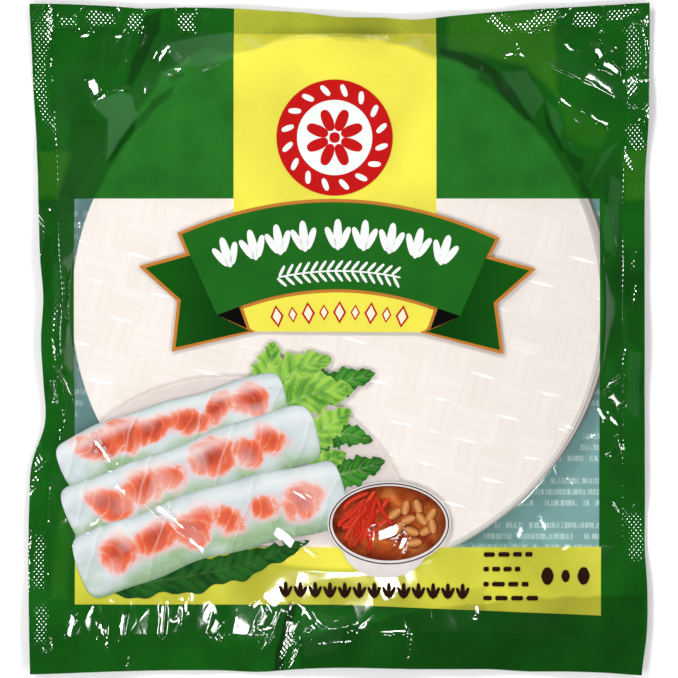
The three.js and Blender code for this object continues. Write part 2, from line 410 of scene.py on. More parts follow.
def facets(x, y, size, seed):
    """Flat faces, heights -1 to 1: random corners of a warped triangle lattice joined by planes."""
    heights = np.random.default_rng(seed).uniform(-1, 1, (64, 64))
    wx = x + 0.4 * size * swell(x, y, 1.7 * size, seed + 1)
    wy = y + 0.4 * size * swell(x, y, 1.7 * size, seed + 2)
    v = 2 * wy / (math.sqrt(3) * size) + 20.3
    u = wx / size - v / 2 + 30.1
    i, j = np.floor(u).astype(int), np.floor(v).astype(int)
    f, g = u - i, v - j
    near, far = heights[j % 64, i % 64], heights[(j + 1) % 64, (i + 1) % 64]
    right, above = heights[j % 64, (i + 1) % 64], heights[(j + 1) % 64, i % 64]
    first = near * (1 - f - g) + right * f + above * g
    second = far * (f + g - 1) + right * (1 - g) + above * (1 - f)
    return np.where(f + g < 1, first, second)


# %% Peaks
PEAKS = (
    # middle x and y, direction in degrees, height, reach ahead, to the left, behind, to the right
    (-86.8, 115.0, 70, 1.0, 14, 4, 14, 6),
    (-95.1, 115.8, 85, 0.8, 10, 3, 12, 4),
    (-57.2, 118.3, 15, 0.9, 16, 5, 12, 6),
    (-66.3, 108.4, 10, 0.5, 7, 3, 7, 4),
    (-77.8, 86.2, 50, 0.8, 12, 4, 12, 5),
    (-40.7, 121.2, 5, 0.7, 14, 4, 10, 5),
    (68.3, 100.6, 120, 0.2, 12, 4, 12, 5),
    (78.6, 95.3, 125, 0.3, 12, 4, 10, 5),
    (90.9, 106.8, 150, 0.9, 14, 5, 16, 6),
    (108.2, 103.5, 155, 0.2, 16, 5, 14, 6),
    (90.1, 82.1, 115, 0.9, 12, 4, 12, 5),
    (101.2, 68.9, 110, 0.7, 12, 4, 12, 4.5),
    (109.1, 54.9, 100, 1.0, 14, 4, 12, 4),
    (97.1, 89.5, 140, 0.7, 10, 4, 10, 4),
    (121.8, 98.6, 150, 0.6, 10, 5, 10, 5),
    (113.2, 40.9, 92, 1.0, 14, 4, 14, 4),
    (118.2, 16.3, 90, 0.2, 20, 4, 18, 3),
    (112.3, -16.7, 80, 0.8, 14, 3, 14, 4),
    (122.2, -33.1, 90, 0.6, 16, 4, 16, 4),
    (111.5, -53.7, 70, 0.8, 10, 4, 10, 4),
    (-121.0, 45.1, 92, 0.7, 20, 4, 18, 4),
    (-114.8, 16.3, 88, 0.4, 18, 3.5, 18, 3.5),
    (-123.0, 3.9, 90, 0.4, 18, 4, 18, 4),
    (-116.9, -24.9, 75, 0.9, 14, 4, 14, 4),
    (-122.2, -53.7, 80, 0.8, 16, 4, 16, 4),
    (-116.9, -82.5, 90, 0.8, 14, 4, 14, 4),
    (-105.8, -116.3, 85, 1.1, 8, 4, 8, 4),
    (-95.1, -117.1, 88, 1.1, 8, 4, 8, 4),
    (-82.7, -116.3, 80, 1.1, 9, 4, 8, 4),
    (-65.4, -116.3, 85, 1.0, 8, 5, 8, 5),
    (-48.1, -117.1, 80, 1.0, 8, 5, 8, 5),
    (-31.7, -118.7, 66, 1.0, 9, 4, 9, 3),
    (-14.0, -120.4, 70, 1.2, 10, 4, 9, 4),
    (-1.6, -116.3, 20, 1.0, 9, 4, 8, 4),
    (3.7, -125.7, 5, 0.8, 9, 3, 9, 3),
    (18.9, -122.0, 170, 0.7, 9, 4, 9, 4),
)


def peaks(x, y):
    """Low pyramids of film: height * (1 - the largest share of its reach in any direction)."""
    total = np.zeros(x.size)
    flat_x, flat_y = x.ravel(), y.ravel()
    for cx, cy, degrees, height, *reach in PEAKS:
        near = (np.hypot(flat_x - cx, flat_y - cy) < 1.5 * max(reach)).nonzero()[0]
        along, across = turned(flat_x[near] - cx, flat_y[near] - cy, degrees)
        sides = [along / reach[0], across / reach[1], -along / reach[2], -across / reach[3]]
        total[near] += height * np.clip(1 - np.maximum.reduce(sides), 0, 1)
    return total.reshape(x.shape)


print("peaks:", len(PEAKS))

# %% Creases
NAMED_CREASES = (
    # middle x and y, direction in degrees, half length, bend, flank width, height; in mm
    (-93.0, 102.0, 0, 4.0, 0.00, 0.9, 0.5),
    (-83.0, 119.0, 73, 17.0, 0.004, 1.6, -0.45),
    (-80.0, 91.0, 49, 18.0, -0.003, 1.6, -0.45),
    (-91.0, 119.0, 80, 8.0, 0.01, 1.0, 0.45),
    (-97.0, 116.0, 95, 7.0, -0.01, 1.0, 0.4),
    (107.0, 103.0, 152, 20.0, 0.000, 1.1, 0.5),
    (101.5, 94.0, 151, 11.0, 0.002, 0.9, 0.5),
    (116.0, 117.0, 95, 4.5, 0.13, 0.8, 0.5),
    (107.5, 117.5, 80, 4.0, -0.12, 0.8, 0.5),
    (95.0, 119.5, 158, 7.0, 0.03, 0.9, 0.6),
    (72.0, 101.0, 125, 13.0, 0.012, 1.8, -0.1),
    (71.0, 118.0, 30, 5.0, 0.00, 0.8, 0.4),
    (73.0, 120.0, 95, 4.0, 0.00, 0.8, 0.4),
    (76.0, 116.0, 150, 4.5, 0.00, 0.8, 0.4),
    (86.0, 76.0, 118, 7.0, 0.02, 1.5, 0.35),
    (94.0, 68.0, 112, 7.0, 0.02, 1.5, 0.35),
    (101.0, 60.0, 106, 8.0, 0.02, 1.5, 0.35),
    (113.0, 41.0, 95, 16.0, 0.004, 1.6, 0.6),
    (118.0, -3.0, 80, 5.0, 0.02, 0.9, 0.4),
    (113.0, -19.0, 38, 6.0, 0.02, 0.8, 0.5),
    (112.5, -30.0, 150, 4.0, 0.08, 0.9, 0.5),
    (114.0, -45.0, 60, 4.5, 0.14, 0.9, 0.6),
    (117.0, -44.0, 100, 4.5, 0.14, 0.9, 0.5),
    (-117.0, -4.0, 100, 5.0, 0.02, 0.9, 0.5),
    (-113.0, -18.5, 118, 7.5, 0.01, 0.8, 0.6),
    (-123.0, -53.0, 38, 8.0, 0.01, 1.0, 0.5),
    (-122.0, -61.5, 5, 8.0, 0.05, 1.0, 0.5),
    (-111.0, -35.0, 122, 12.0, 0.004, 0.7, 0.4),
    (-110.7, -115.0, 90, 6.0, 0.03, 1.2, 0.7),
    (-99.0, -119.5, 95, 5.0, 0.05, 1.0, 0.6),
    (-89.5, -117.5, 82, 8.0, 0.00, 1.3, 0.8),
    (-72.5, -116.0, 88, 8.0, 0.01, 1.2, 0.8),
    (-51.0, -119.0, 80, 4.0, 0.05, 1.0, 0.6),
    (-31.0, -114.0, 66, 4.5, 0.06, 1.1, 0.7),
    (-27.0, -120.0, 68, 10.0, 0.006, 0.9, 0.6),
    (-22.8, -123.0, 74, 14.0, 0.004, 1.6, -0.45),
    (-16.0, -117.0, 146, 9.0, 0.01, 0.9, 0.6),
    (-11.0, -124.0, 20, 5.0, 0.04, 0.9, 0.6),
    (-17.0, -129.0, 75, 8.0, 0.02, 0.9, 0.5),
    (7.0, -122.0, 120, 5.0, 0.06, 1.0, 0.5),
    (-65.8, -73.2, 143, 9.5, 0.004, 0.9, 0.45),
    (-82.5, -79.5, -10, 25.0, 0.001, 0.6, 0.22),
    (-104.0, -60.0, 128, 14.0, 0.003, 0.7, 0.3),
)
CREASE_ZONES = (
    # middle x and y, half width and height, how many, direction in degrees and its spread
    (-98, 108, 24, 24, 3, 95, 20),
    (-70, 117, 34, 10, 3, 80, 20),
    (70, 119, 40, 8, 5, 80, 45),
    (98, 104, 28, 24, 6, 148, 20),
    (104, 78, 18, 26, 3, 120, 15),
    (116, 20, 8, 60, 3, 90, 15),
    (112, -35, 14, 22, 8, 60, 40),
    (100, -75, 20, 22, 4, 40, 40),
    (-117, 20, 9, 70, 3, 92, 10),
    (-114, -40, 12, 38, 7, 100, 20),
    (-104, -80, 20, 30, 6, 60, 40),
    (-80, -120, 46, 13, 10, 88, 12),
    (-15, -124, 36, 14, 9, 80, 35),
    (60, -118, 46, 10, 3, 80, 40),
)


def crease_table():
    """Random short creases in the zones, none on the stack: most are ridges, some are valleys."""
    rng = np.random.default_rng(7)
    rows = []
    for cx, cy, rx, ry, count, degrees, spread in CREASE_ZONES:
        x = cx + rx * rng.uniform(-1, 1, count)
        y = cy + ry * rng.uniform(-1, 1, count)
        direction = degrees + rng.normal(0, spread, count)
        half_length = rng.uniform(2.0, 9.0, count)
        bend = rng.normal(0, 0.04, count)
        width = rng.uniform(0.45, 1.2, count)
        height = width * rng.uniform(0.2, 0.5, count) * rng.choice([1, -1], count, p=[0.7, 0.3])
        rows.append(np.stack([x, y, direction, half_length, bend, width, height], axis=1))
    table = np.concatenate(rows)
    return table[from_stack(table[:, 0], table[:, 1]) > STACK_RADIUS + 1]


def creases(x, y, table):
    """Bent crests: height * exp(-d / width) * exp(-(p / half length)^4), p along and d across."""
    total = np.zeros(x.size)
    flat_x, flat_y = x.ravel(), y.ravel()
    for cx, cy, degrees, half_length, bend, width, height in table:
        reach = 1.4 * half_length + 5 * width
        near = (np.abs(flat_x - cx) < reach).nonzero()[0]
        near = near[np.abs(flat_y[near] - cy) < reach]
        along, across = turned(flat_x[near] - cx, flat_y[near] - cy, degrees)
        across = across - bend * along**2
        crest = np.exp(0.35 - np.sqrt((across / width) ** 2 + 0.12))
        total[near] += height * crest * np.exp(-((along / half_length) ** 4))
    return total.reshape(x.shape)


CREASES = np.concatenate([np.array(NAMED_CREASES, float), crease_table()])
print("creases:", len(CREASES))

# %% [markdown]
# ## The weave of the sheets
#
# Rice paper dries on bamboo mats, and keeps their pattern: bundles of slats that cross over
# and under each other in a chequerboard. The film lies so close that it takes a faint print of
# the same pattern, and glints along the lower edge of the raised bundles.

# %% Weave
MAT_CELL = 13.8
MAT_TURN = -14.2
SLATS = 3
print("slats of the mat, in mm:", MAT_CELL / SLATS)


def mat_place(x, y):
    """Place on the mat in cells: turned with the mat, and wavering a little as real mats do."""
    wavering = x + 1.6 * swell(x, y, 55, 3), y + 1.6 * swell(x, y, 55, 4)
    p, q = turned(*wavering, MAT_TURN)
    return p / MAT_CELL, q / MAT_CELL


def weave(x, y):
    """0 to 1: each cell swells along its slats as a half sine, and shallow grooves part them."""
    p, q = mat_place(x, y)
    across = (np.floor(p) + np.floor(q)) % 2 > 0.5
    along = np.where(across, q, p) % 1
    over = np.where(across, p, q) % 1
    arch = np.sin(np.pi * along) ** 0.35
    groove = np.abs(np.sin(np.pi * SLATS * over)) ** 0.25
    return (0.45 + 0.55 * arch) * (0.8 + 0.2 * groove) * np.where(across, 0.86, 1.0)


def glints(x, y):
    """Low lens-shaped roofs of film along the lower edge of the cells, 0.27 steep."""
    p, q = mat_place(x, y)
    row, column = np.round(q), np.floor(p)
    strength = np.sin(12.9898 * column + 78.233 * row) * 43758.5453 % 1
    chequer = (column + row) % 2 < 0.5
    off = np.abs(q - row - 0.04 * (p - column - 0.5)) * MAT_CELL
    lens = 1 - ((p - column - 0.5) / 0.5) ** 2
    bare = (np.abs(x) > 84) | (y < -8) | (y > 62)
    bare = bare & ((x > 20) | (y > -20)) & ((x > 50) | (y > -54)) & (np.hypot(x + 2, y - 83) > 27)
    wide = np.where(chequer, 0.75 + 0.25 * strength, 0.4 + 0.5 * strength)
    return 0.27 * np.clip(1.05 * lens * wide - off, 0, 1) * bare


# %% Heights of the two films
FILM_GAP = 0.25
PLATEAU_HEIGHT = POUCH_THICKNESS - 0.2


def plateau(x, y):
    """Film over the stack: nearly level, with a slow swell and a bend at the stack's edge."""
    ax, ay = x - STACK_X, y - STACK_Y
    slow = 0.18 * np.sin(0.031 * ax + 0.6) * np.cos(0.027 * ay)
    inward = np.clip(STACK_RADIUS - np.hypot(ax, ay), 0, 2.2)
    return PLATEAU_HEIGHT + slow - 0.12 * (1 - inward / 2.2) ** 2


def back_height(x, y):
    """The back film: flat under the stack, rising to the seals with a few broad facets."""
    share = skirt_share(x, y)
    rising = (seal_height(x, y) - FILM_GAP) * share**1.3
    rough = 0.3 * facets(x, y, 15, 80)
    return np.maximum(rising + rough * np.clip(3 * share, 0, 1) * (1 - share), 0.12)


def stack_fold(x, y):
    """The crease where the film leaves the slipped sheets: a thin ring round their right side."""
    off = from_stack(x, y) - STACK_RADIUS - 1.2 - 0.8 * swell(x, y, 16, 31)
    turn = np.degrees(np.arctan2(y - STACK_Y, x - STACK_X))
    here = np.exp(-(((turn + 22) / 42) ** 4))
    return 0.4 * here * np.exp(0.2 - np.sqrt((off / 0.6) ** 2 + 0.04))


DOMES = (
    # middle x and y, direction in degrees, half length and half width in mm, height
    (111.8, 116.6, 115, 6.6, 5.0, 1.25),
    (-29.0, -122.0, 80, 3.0, 2.4, 0.5),
    (113.0, -45.5, 70, 4.6, 3.6, 0.8),
    (-87.0, 112.0, 90, 5.0, 2.6, 0.5),
)


def domes(x, y):
    """Blisters: height * (1 - r^2)^2 inside an ellipse, where r is the share of the way out."""
    total = np.zeros_like(x)
    for cx, cy, degrees, length, width, height in DOMES:
        along, across = turned(x - cx, y - cy, degrees)
        inside = np.clip(1 - (along / length) ** 2 - (across / width) ** 2, 0, 1)
        total += height * inside**2
    return total


def loose_height(x, y):
    """The front film before its plates: plateau, skirt and seals, puckered and creased."""
    share = skirt_share(x, y)
    seal = seal_height(x, y)
    edge = plateau(x, y)
    skirt = seal + (edge - seal) * (1 - share) ** 1.08
    main = 0.3 * puckers(x, y, share) + 0.4 * folds(x, y) + 0.9 * peaks(x, y)
    main = main * np.clip(4 * share, 0, 1)
    rough = 0.95 * facets(x, 0.8 * y, 19, 50) + 0.28 * facets(x, 0.6 * y, 8, 60)
    rough = rough * restless(x, y) * np.clip(0.03 + 2 * share, 0, 1) + creases(x, y, CREASES)
    pressed = (1 - np.clip(12 * share, 0, 1)) * (glints(x, y) + 0.05 * weave(x, y))
    return skirt + main + rough + pressed + stack_fold(x, y) + domes(x, y)


print("film over the stack, in mm:", round(PLATEAU_HEIGHT, 1))

# %% [markdown]
# ## Plates
#
# A highlight on film has a hard edge and a size of its own, because it is a small flat patch
# that mirrors the whole lamp at once. Tilting such patches by hand would be guesswork. Here the
# slope of each follows from where it lies, where its lamp stands and where the lens is.

# %% Plates
KNURL_TILT = {"seal_left": 0.53, "seal_back": 0.61, "seal_right": 0.53}
PLATE_RAGGED = 0.5
SEAL_RAGGED = 0.7
PLATES = (
    # middle x and y, direction in degrees, half length and half width in mm, and its lamp
    (-101.0, 104.0, 112, 5.5, 2.3, "strip_back_left"),
    (-98.0, 99.5, 35, 3.4, 1.4, "strip_back_left"),
    (-91.5, 102.6, 178, 4.0, 0.9, "strip_front_left"),
    (-71.5, 119.0, 52, 3.6, 1.0, "strip_back_left"),
    (-76.0, 117.0, 60, 2.6, 1.0, "strip_back_left"),
    (-105.0, 125.5, 175, 2.4, 1.0, "strip_back_left"),
    (-91.5, 125.0, 170, 2.2, 0.9, "strip_back_left"),
    (93.5, 97.5, 146, 4.2, 1.4, "strip_back_right"),
    (101.0, 93.2, 152, 1.8, 1.1, "strip_back_right"),
    (107.2, 90.2, 154, 4.8, 1.4, "strip_back_right"),
    (107.0, 103.2, 153, 21.0, 0.7, "strip_back_right"),
    (107.4, 117.6, 110, 5.0, 1.9, "strip_front_left"),
    (112.6, 112.0, 150, 5.2, 1.9, "strip_front_left"),
    (95.0, 120.5, 150, 4.0, 0.9, "strip_back_right"),
    (70.5, 117.0, 20, 2.6, 1.0, "strip_back_right"),
    (114.0, -25.5, 135, 4.2, 1.7, "strip_front_left"),
    (112.5, -18.0, 36, 5.0, 0.7, "strip_front_right"),
    (116.0, -43.5, 105, 3.6, 0.8, "strip_front_right"),
    (114.5, -69.5, 125, 2.6, 1.2, "strip_front_left"),
    (93.5, -37.0, 150, 3.0, 1.0, "strip_back_right"),
    (84.0, -76.0, 128, 3.0, 1.3, "strip_front_left"),
    (-89.5, -118.0, 84, 7.0, 1.3, "foot_left"),
    (-110.5, -118.0, 75, 6.0, 1.4, "foot_left"),
    (-98.0, -120.0, 100, 3.4, 1.0, "foot_left"),
    (-73.0, -116.0, 84, 7.0, 1.1, "foot_left"),
    (-51.5, -119.0, 62, 3.4, 1.6, "foot_left"),
    (-31.5, -116.5, 60, 4.6, 1.2, "foot_left"),
    (-34.0, -109.5, 40, 2.6, 1.0, "foot_left"),
    (-3.0, -122.8, 6, 8.0, 2.6, "foot_front"),
    (-9.0, -115.5, 128, 4.4, 1.0, "foot_left"),
    (-14.5, -112.5, 130, 6.0, 0.8, "foot_left"),
    (-30.0, -119.5, 2, 3.0, 1.0, "foot_front"),
    (-22.5, -81.8, 142, 6.5, 3.6, "strip_front_left"),
    (-12.0, -88.0, 150, 4.0, 1.0, "strip_front_left"),
    (20.5, -79.5, 12, 7.0, 3.4, "strip_front_right"),
    (26.5, -84.0, 65, 3.6, 2.4, "strip_front_right"),
    (-69.3, -73.3, 141, 11.0, 2.1, "strip_back_right"),
    (-54.0, -112.5, 70, 3.4, 1.2, "foot_left"),
    (-113.5, 12.0, 100, 3.0, 0.7, "strip_back_left"),
    (-117.5, -22.0, 100, 4.5, 0.8, "strip_front_left"),
    (-107.0, 47.0, 92, 2.6, 0.8, "strip_back_left"),
    (-113.0, -18.5, 118, 7.5, 0.8, "strip_front_left"),
    (22.0, -121.0, 4, 7.0, 1.1, "foot_front"),
    (-123.4, 111.0, 91.5, 27.0, 5.0, "seal_left"),
    (-111.8, 131.0, 175, 5.5, 3.0, "seal_back"),
    (-98.5, 132.6, 178, 7.5, 5.2, "seal_back"),
    (-84.5, 131.0, 72, 5.5, 3.4, "seal_back"),
    (-63.0, 131.0, 88, 6.0, 4.2, "seal_back"),
    (66.5, 129.8, 143, 7.0, 2.6, "seal_back"),
    (82.7, 131.6, 26, 11.0, 3.2, "seal_back"),
    (102.5, 132.0, 170, 6.5, 4.6, "seal_back"),
    (118.0, 134.0, 178, 9.0, 4.2, "seal_back"),
    (121.4, 119.5, 98, 12.0, 5.6, "seal_right"),
    (122.6, 83.5, 106, 7.0, 4.6, "seal_right"),
    (122.6, -81.5, 88, 12.0, 4.6, "seal_right"),
    (-124.0, -92.0, 88, 14.0, 4.2, "seal_left"),
    (-123.0, -119.0, 90, 10.0, 4.2, "seal_left"),
    (108.0, -30.5, 128, 3.6, 1.3, "window_front"),
    (104.5, -40.0, 30, 3.4, 0.7, "window_front"),
    (95.0, -58.5, 140, 2.6, 0.8, "window_front"),
    (89.0, -54.5, 80, 1.8, 0.8, "window_front"),
    (74.5, -79.5, 70, 3.0, 0.9, "window_front"),
    (-97.5, -46.0, 124, 8.0, 1.7, "strip_back_right"),
    (-58.5, -85.0, 142, 5.0, 1.3, "strip_front_left"),
    (-90.0, -62.0, 128, 4.5, 1.1, "strip_front_left"),
    (-101.0, -76.0, 40, 4.0, 1.2, "strip_back_left"),
    (-16.0, -64.5, 148, 5.0, 1.6, "strip_back_right"),
)


def plate_planes(table):
    """Height at each plate's middle, and the slopes that send its lamp's light to the lens.

    The normal halves the angle between the directions to the lamp and to the lens. On a seal
    the plate has only part of that tilt, and the flanks of the knurl do the rest.
    """
    x, y = np.array([row[:2] for row in table]).T
    planes = []
    for px, py, middle, row in zip(x, y, loose_height(x, y), table):
        lamp = row[5]
        place = np.array([px, py, middle]) * MM
        to_lens = np.array([0, 0, CAMERA_HEIGHT]) - place
        to_lamp = np.array(lamp_place(*LIGHTS[lamp][:3])) - place
        normal = to_lens / np.linalg.norm(to_lens) + to_lamp / np.linalg.norm(to_lamp)
        planes.append((middle, *(-KNURL_TILT.get(lamp, 1.0) * normal[:2] / normal[2])))
    return planes


def with_plates(x, y, z):
    """Blends each plate's plane over the film by exp(-(p / length)^8 - (d / width)^8).

    The distances along and across are ragged by a swell of 3.2 mm, so the rims look torn.
    """
    flat_x, flat_y, flat_z = x.ravel(), y.ravel(), z.ravel().copy()
    ragged_x, ragged_y = swell(flat_x, flat_y, 3.2, 61), swell(flat_x, flat_y, 3.2, 62)
    for row, (middle, slope_x, slope_y) in zip(PLATES, PLANES):
        cx, cy, degrees, length, width, lamp = row
        near = (np.hypot(flat_x - cx, flat_y - cy) < 1.8 * length).nonzero()[0]
        ragged = SEAL_RAGGED if lamp.startswith("seal") else PLATE_RAGGED
        px, py = flat_x[near] - cx, flat_y[near] - cy
        along, across = turned(px + ragged * ragged_x[near], py + ragged * ragged_y[near], degrees)
        share = np.exp(-((along / length) ** 8) - (across / width) ** 8)
        flat_z[near] += share * (middle + slope_x * px + slope_y * py - flat_z[near])
    return flat_z.reshape(x.shape)


PLANES = plate_planes(PLATES)
print("plates:", len(PLANES))


def front_height(x, y):
    """The front film with its plates, always clear of the surface below."""
    return np.maximum(with_plates(x, y, loose_height(x, y)), 0.6)


def back_under_front(x, y):
    """The back film, pressed down where the front one dips."""
    return np.maximum(np.minimum(back_height(x, y), front_height(x, y) - 2 * FILM_GAP), 0.1)


# %% [markdown]
# ## From arrays to meshes
#
# Each surface below is a grid of points worked out at once as arrays. The helper numbers the
# points, makes a quad between each four neighbours and puts them in a mesh. Several grids can
# go into one piece, and a grid may close on itself round a full turn. The shares are up to
# three numbers for each point, which the piece's material reads.

# %% Grid helpers


def add_piece(name, grids, surface, shares=None, closed=False, lamps=None):
    """A mesh from grids of (x, y, z) in mm. Faces point up where x grows along a row."""
    points, quads, count = [], [], 0
    for x, y, z in grids:
        index = np.arange(x.size).reshape(x.shape) + count
        if closed:
            index = np.concatenate([index, index[:, :1]], axis=1)
        corners = (index[:-1, :-1], index[:-1, 1:], index[1:, 1:], index[1:, :-1])
        quads.append(np.stack(corners, axis=-1).reshape(-1, 4))
        points.append(np.stack([x, y, z], axis=-1).reshape(-1, 3))
        count += x.size
    mesh = bpy.data.meshes.new(name)
    mesh.from_pydata(np.concatenate(points) * MM, [], np.concatenate(quads))
    mesh.polygons.foreach_set("use_smooth", [True] * len(mesh.polygons))
    if shares is not None:
        layer = mesh.attributes.new("shares", "FLOAT_VECTOR", "POINT")
        flat = []
        for number, part in enumerate(shares):
            three = np.broadcast_arrays(*part, number)[:3]
            flat.append(np.stack(three, axis=-1).reshape(-1, 3))
        layer.data.foreach_set("vector", np.concatenate(flat).astype(np.float32).ravel())
    mesh.materials.append(surface)
    piece = bpy.data.objects.new(name, mesh)
    bpy.context.scene.collection.objects.link(piece)
    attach(piece, "root")
    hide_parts("pouch")
    if lamps:
        LINKED[lamps].objects.link(piece)
    print(name, "faces:", len(mesh.polygons))
    return piece


# %% [markdown]
# ## How the ink's tone varies
#
# The same ink is painted lighter where the white sheets lie behind it, and painted darker in
# patches like facets, along the fold valleys, where the film also lies double, and over a few
# stretches of margin. It has a painted pale sheen where broad facets would mirror the room, and
# is painted yellower where light gets in behind. Those areas have straight edges, so each is a
# polygon. Every point of the film stores three numbers for the ink to read: how well it is
# backed, its painted shade, and its painted sheen, which below 0 is painted warm light.

# %% Tone of the ink
# Painted shade: the ink darker along the fold valleys and over a few stretches of margin
PAINTED_SHADE_AREAS = (
    # share of the tone that is left, and the corners in mm
    (0.5, ((-79.8, 133.5), (-73.7, 136.8), (-74.5, 126.5), (-79.4, 116.3), (-86, 103.9),
        (-88.1, 105.6), (-83.1, 119.1), (-81.1, 128.6))),
    (0.6, ((-67.9, 104.3), (-73.7, 101), (-83.1, 91.6), (-95.9, 73.5), (-93.8, 73.5),
        (-81.9, 87.9), (-69.1, 100.2))),
    (0.82, ((-110.7, 90.3), (-95.5, 90.3), (-97.5, 78), (-109.9, 58.6), (-115.6, 58.6))),
    (0.75, ((-72, 108), (-65.4, 110.1), (-63, 108.8), (-68.7, 106))),
    (0.5, ((41.6, 120.8), (51.9, 117.9), (63.8, 111.7), (67.9, 106.4), (72.4, 101.9),
        (80.2, 89.1), (76.5, 89.9), (69.1, 98.1), (62.1, 107.6), (51.9, 112.6), (41.6, 117.9))),
    (0.5, ((84.8, 96.5), (87.2, 91.6), (93, 76.7), (90.9, 77.6), (85.6, 88.3))),
    (0.62, ((93, 78), (101.2, 73.9), (100, 68.5), (97.1, 68.5), (93.4, 74.7))),
    (0.6, ((99.2, 67.7), (104.1, 59.5), (103.3, 56.2), (99.2, 61.5))),
    (0.36, ((-20.6, -108.8), (-17.3, -109.7), (-23.5, -138.1), (-27.6, -138.1))),
    (0.84, ((-4, -98), (30, -104), (60, -103), (60, -112), (-4, -112))),
    (0.68, ((-16, -135.2), (-16, -123.7), (33.3, -112.1), (74.5, -107.2), (125.9, -105.6),
        (125.9, -139.3), (-16, -139.3))),
    (0.8, ((-127.2, 51.2), (-118.9, 40.9), (-119.8, 20.4), (-127.2, 16.3))),
    (0.8, ((117.7, 24.5), (125.9, 28.6), (125.9, -4.3), (119.8, -0.2))),
)
# Painted sheen: a pale grey-green where broad facets would mirror the room
PAINTED_SHEEN_AREAS = (
    (0.42, ((-102.1, 97.3), (-90.1, 101.9), (-86, 100.6), (-83.1, 92.4), (-90.1, 82.1),
        (-95.9, 73.9), (-95.5, 90.3))),
    (0.4, ((-72.8, 120.4), (-59.3, 124.5), (-42.8, 126.5), (-42.8, 116.3), (-53.1, 112.6),
        (-65.4, 112.6), (-69.5, 116.7))),
    (0.25, ((67.1, 110.1), (77.4, 110.9), (84.8, 98.6), (80.7, 90.3), (72.4, 100.6))),
    (0.2, ((85.6, 98.6), (93, 91.6), (91.4, 82.1), (87.2, 90.3))),
    (0.18, ((107.4, 75.9), (115.6, 82.1), (107.4, 69.8), (103.3, 63.6))),
    (0.22, ((112.3, 67.7), (116.5, 65.6), (117.7, 57.4), (110.7, 55.8))),
    (0.2, ((108.6, 54.5), (115.2, 57.4), (114.8, 33.5), (109.9, 36.8))),
    (0.14, ((-15.2, -111.3), (2.5, -114.6), (-0.4, -128.6), (-14.8, -131.9))),
    (0.15, ((-44.9, -109.7), (-22.6, -109.7), (-28.4, -123.7), (-42.8, -123.7))),
    (0.15, ((-118.1, 31.9), (-112.3, 30.2), (-114, 3.9), (-118.1, 6))),
    (0.16, ((119.8, -4.3), (124.7, -5.1), (123.9, -33.1), (118.9, -29))),
)
# Painted warm light: the ink yellower where light gets in behind
LIT_BEHIND = (
    (0.7, ((-124.3, 77.2), (-110.7, 77.2), (-116, 57.8), (-124.3, 57.8))),
    (0.8, ((45.7, 134.8), (89.7, 134.8), (89.7, 100.6), (77.4, 113), (45.7, 120.4))),
    (0.7, ((117.7, 78), (127.6, 78), (127.6, 57.4), (117.7, 57.4))),
    (0.4, ((89.7, 100.6), (99.2, 94.4), (111.5, 86.2), (107.4, 78), (95.1, 82.1))),
    (0.4, ((-114.8, -66), (-110.7, -74.3), (-112.3, -107.2), (-118.9, -107.2))),
)


def inside_polygon(x, y, corners, soft):
    """1 inside a polygon, 0 outside, through a soft edge: its sign times the nearest distance."""
    corners = np.array(corners, float)
    inside = np.zeros(x.shape, bool)
    nearest = np.full(x.shape, 1e9)
    for (ax, ay), (bx, by) in zip(corners, np.roll(corners, -1, axis=0)):
        crosses = (ay > y) != (by > y)
        inside ^= crosses & (x < ax + (y - ay) * (bx - ax) / (by - ay + 1e-9))
        along = ((x - ax) * (bx - ax) + (y - ay) * (by - ay)) / ((bx - ax) ** 2 + (by - ay) ** 2)
        along = np.clip(along, 0, 1)
        off = np.hypot(x - ax - along * (bx - ax), y - ay - along * (by - ay))
        nearest = np.minimum(nearest, off)
    return np.clip(0.5 + np.where(inside, nearest, -nearest) / soft, 0, 1)


def ink_tone(x, y):
    """Backing, painted shade and painted sheen (warm light below 0) of the ink, as three arrays."""
    wx, wy = x + 0.8 * swell(x, y, 7, 71), y + 0.8 * swell(x, y, 7, 72)
    slack = 6 * np.clip(facets(x, y, 13, 90), 0, 1) * np.clip((y - 40) / 30, 0, 1)
    slack += 9 * spot(x, y, -62, 108, 22, 16)
    backing = np.clip((STACK_RADIUS + slack - from_stack(x, y)) / 2, 0, 1)
    # Painted shade in patches like facets, milder over the stack
    dark = 1 + 0.16 * facets(x, y, 17, 95) + 0.06 * swell(x, y, 30, 96)
    dark = np.where(from_stack(x, y) < STACK_RADIUS, 1 + 0.65 * (dark - 1), dark)
    for left, corners in PAINTED_SHADE_AREAS:
        dark *= 1 - (1 - left) * inside_polygon(wx, wy, corners, 1.2)
    # Painted sheen, less the painted warm light
    sheen_and_warm_light = np.zeros_like(x)
    for share, corners in PAINTED_SHEEN_AREAS:
        sheen_and_warm_light = np.maximum(sheen_and_warm_light, 0.5 * share * inside_polygon(wx, wy, corners, 0.9))
    for share, corners in LIT_BEHIND:
        sheen_and_warm_light -= share * inside_polygon(wx, wy, corners, 2.5)
    return backing, dark, sheen_and_warm_light


# %% [markdown]
# ## Film and ink
#
# The film is oriented polypropylene, printed on its inner face and glossy on the outside. Where
# it carries no ink it is clear: a mirror as weak as glass and otherwise transparent. Where it
# does, the ink is a thin layer under the same gloss. The ink is not quite opaque, so it looks
# lighter where the white sheets lie behind it and deeper over the empty margins. That light
# from behind is painted into the ink's colour.
#
# One material holds the clear film and the large fields of ink, as rectangles measured from the
# middle of the pouch. An image texture would need a picture file and would blur up close.

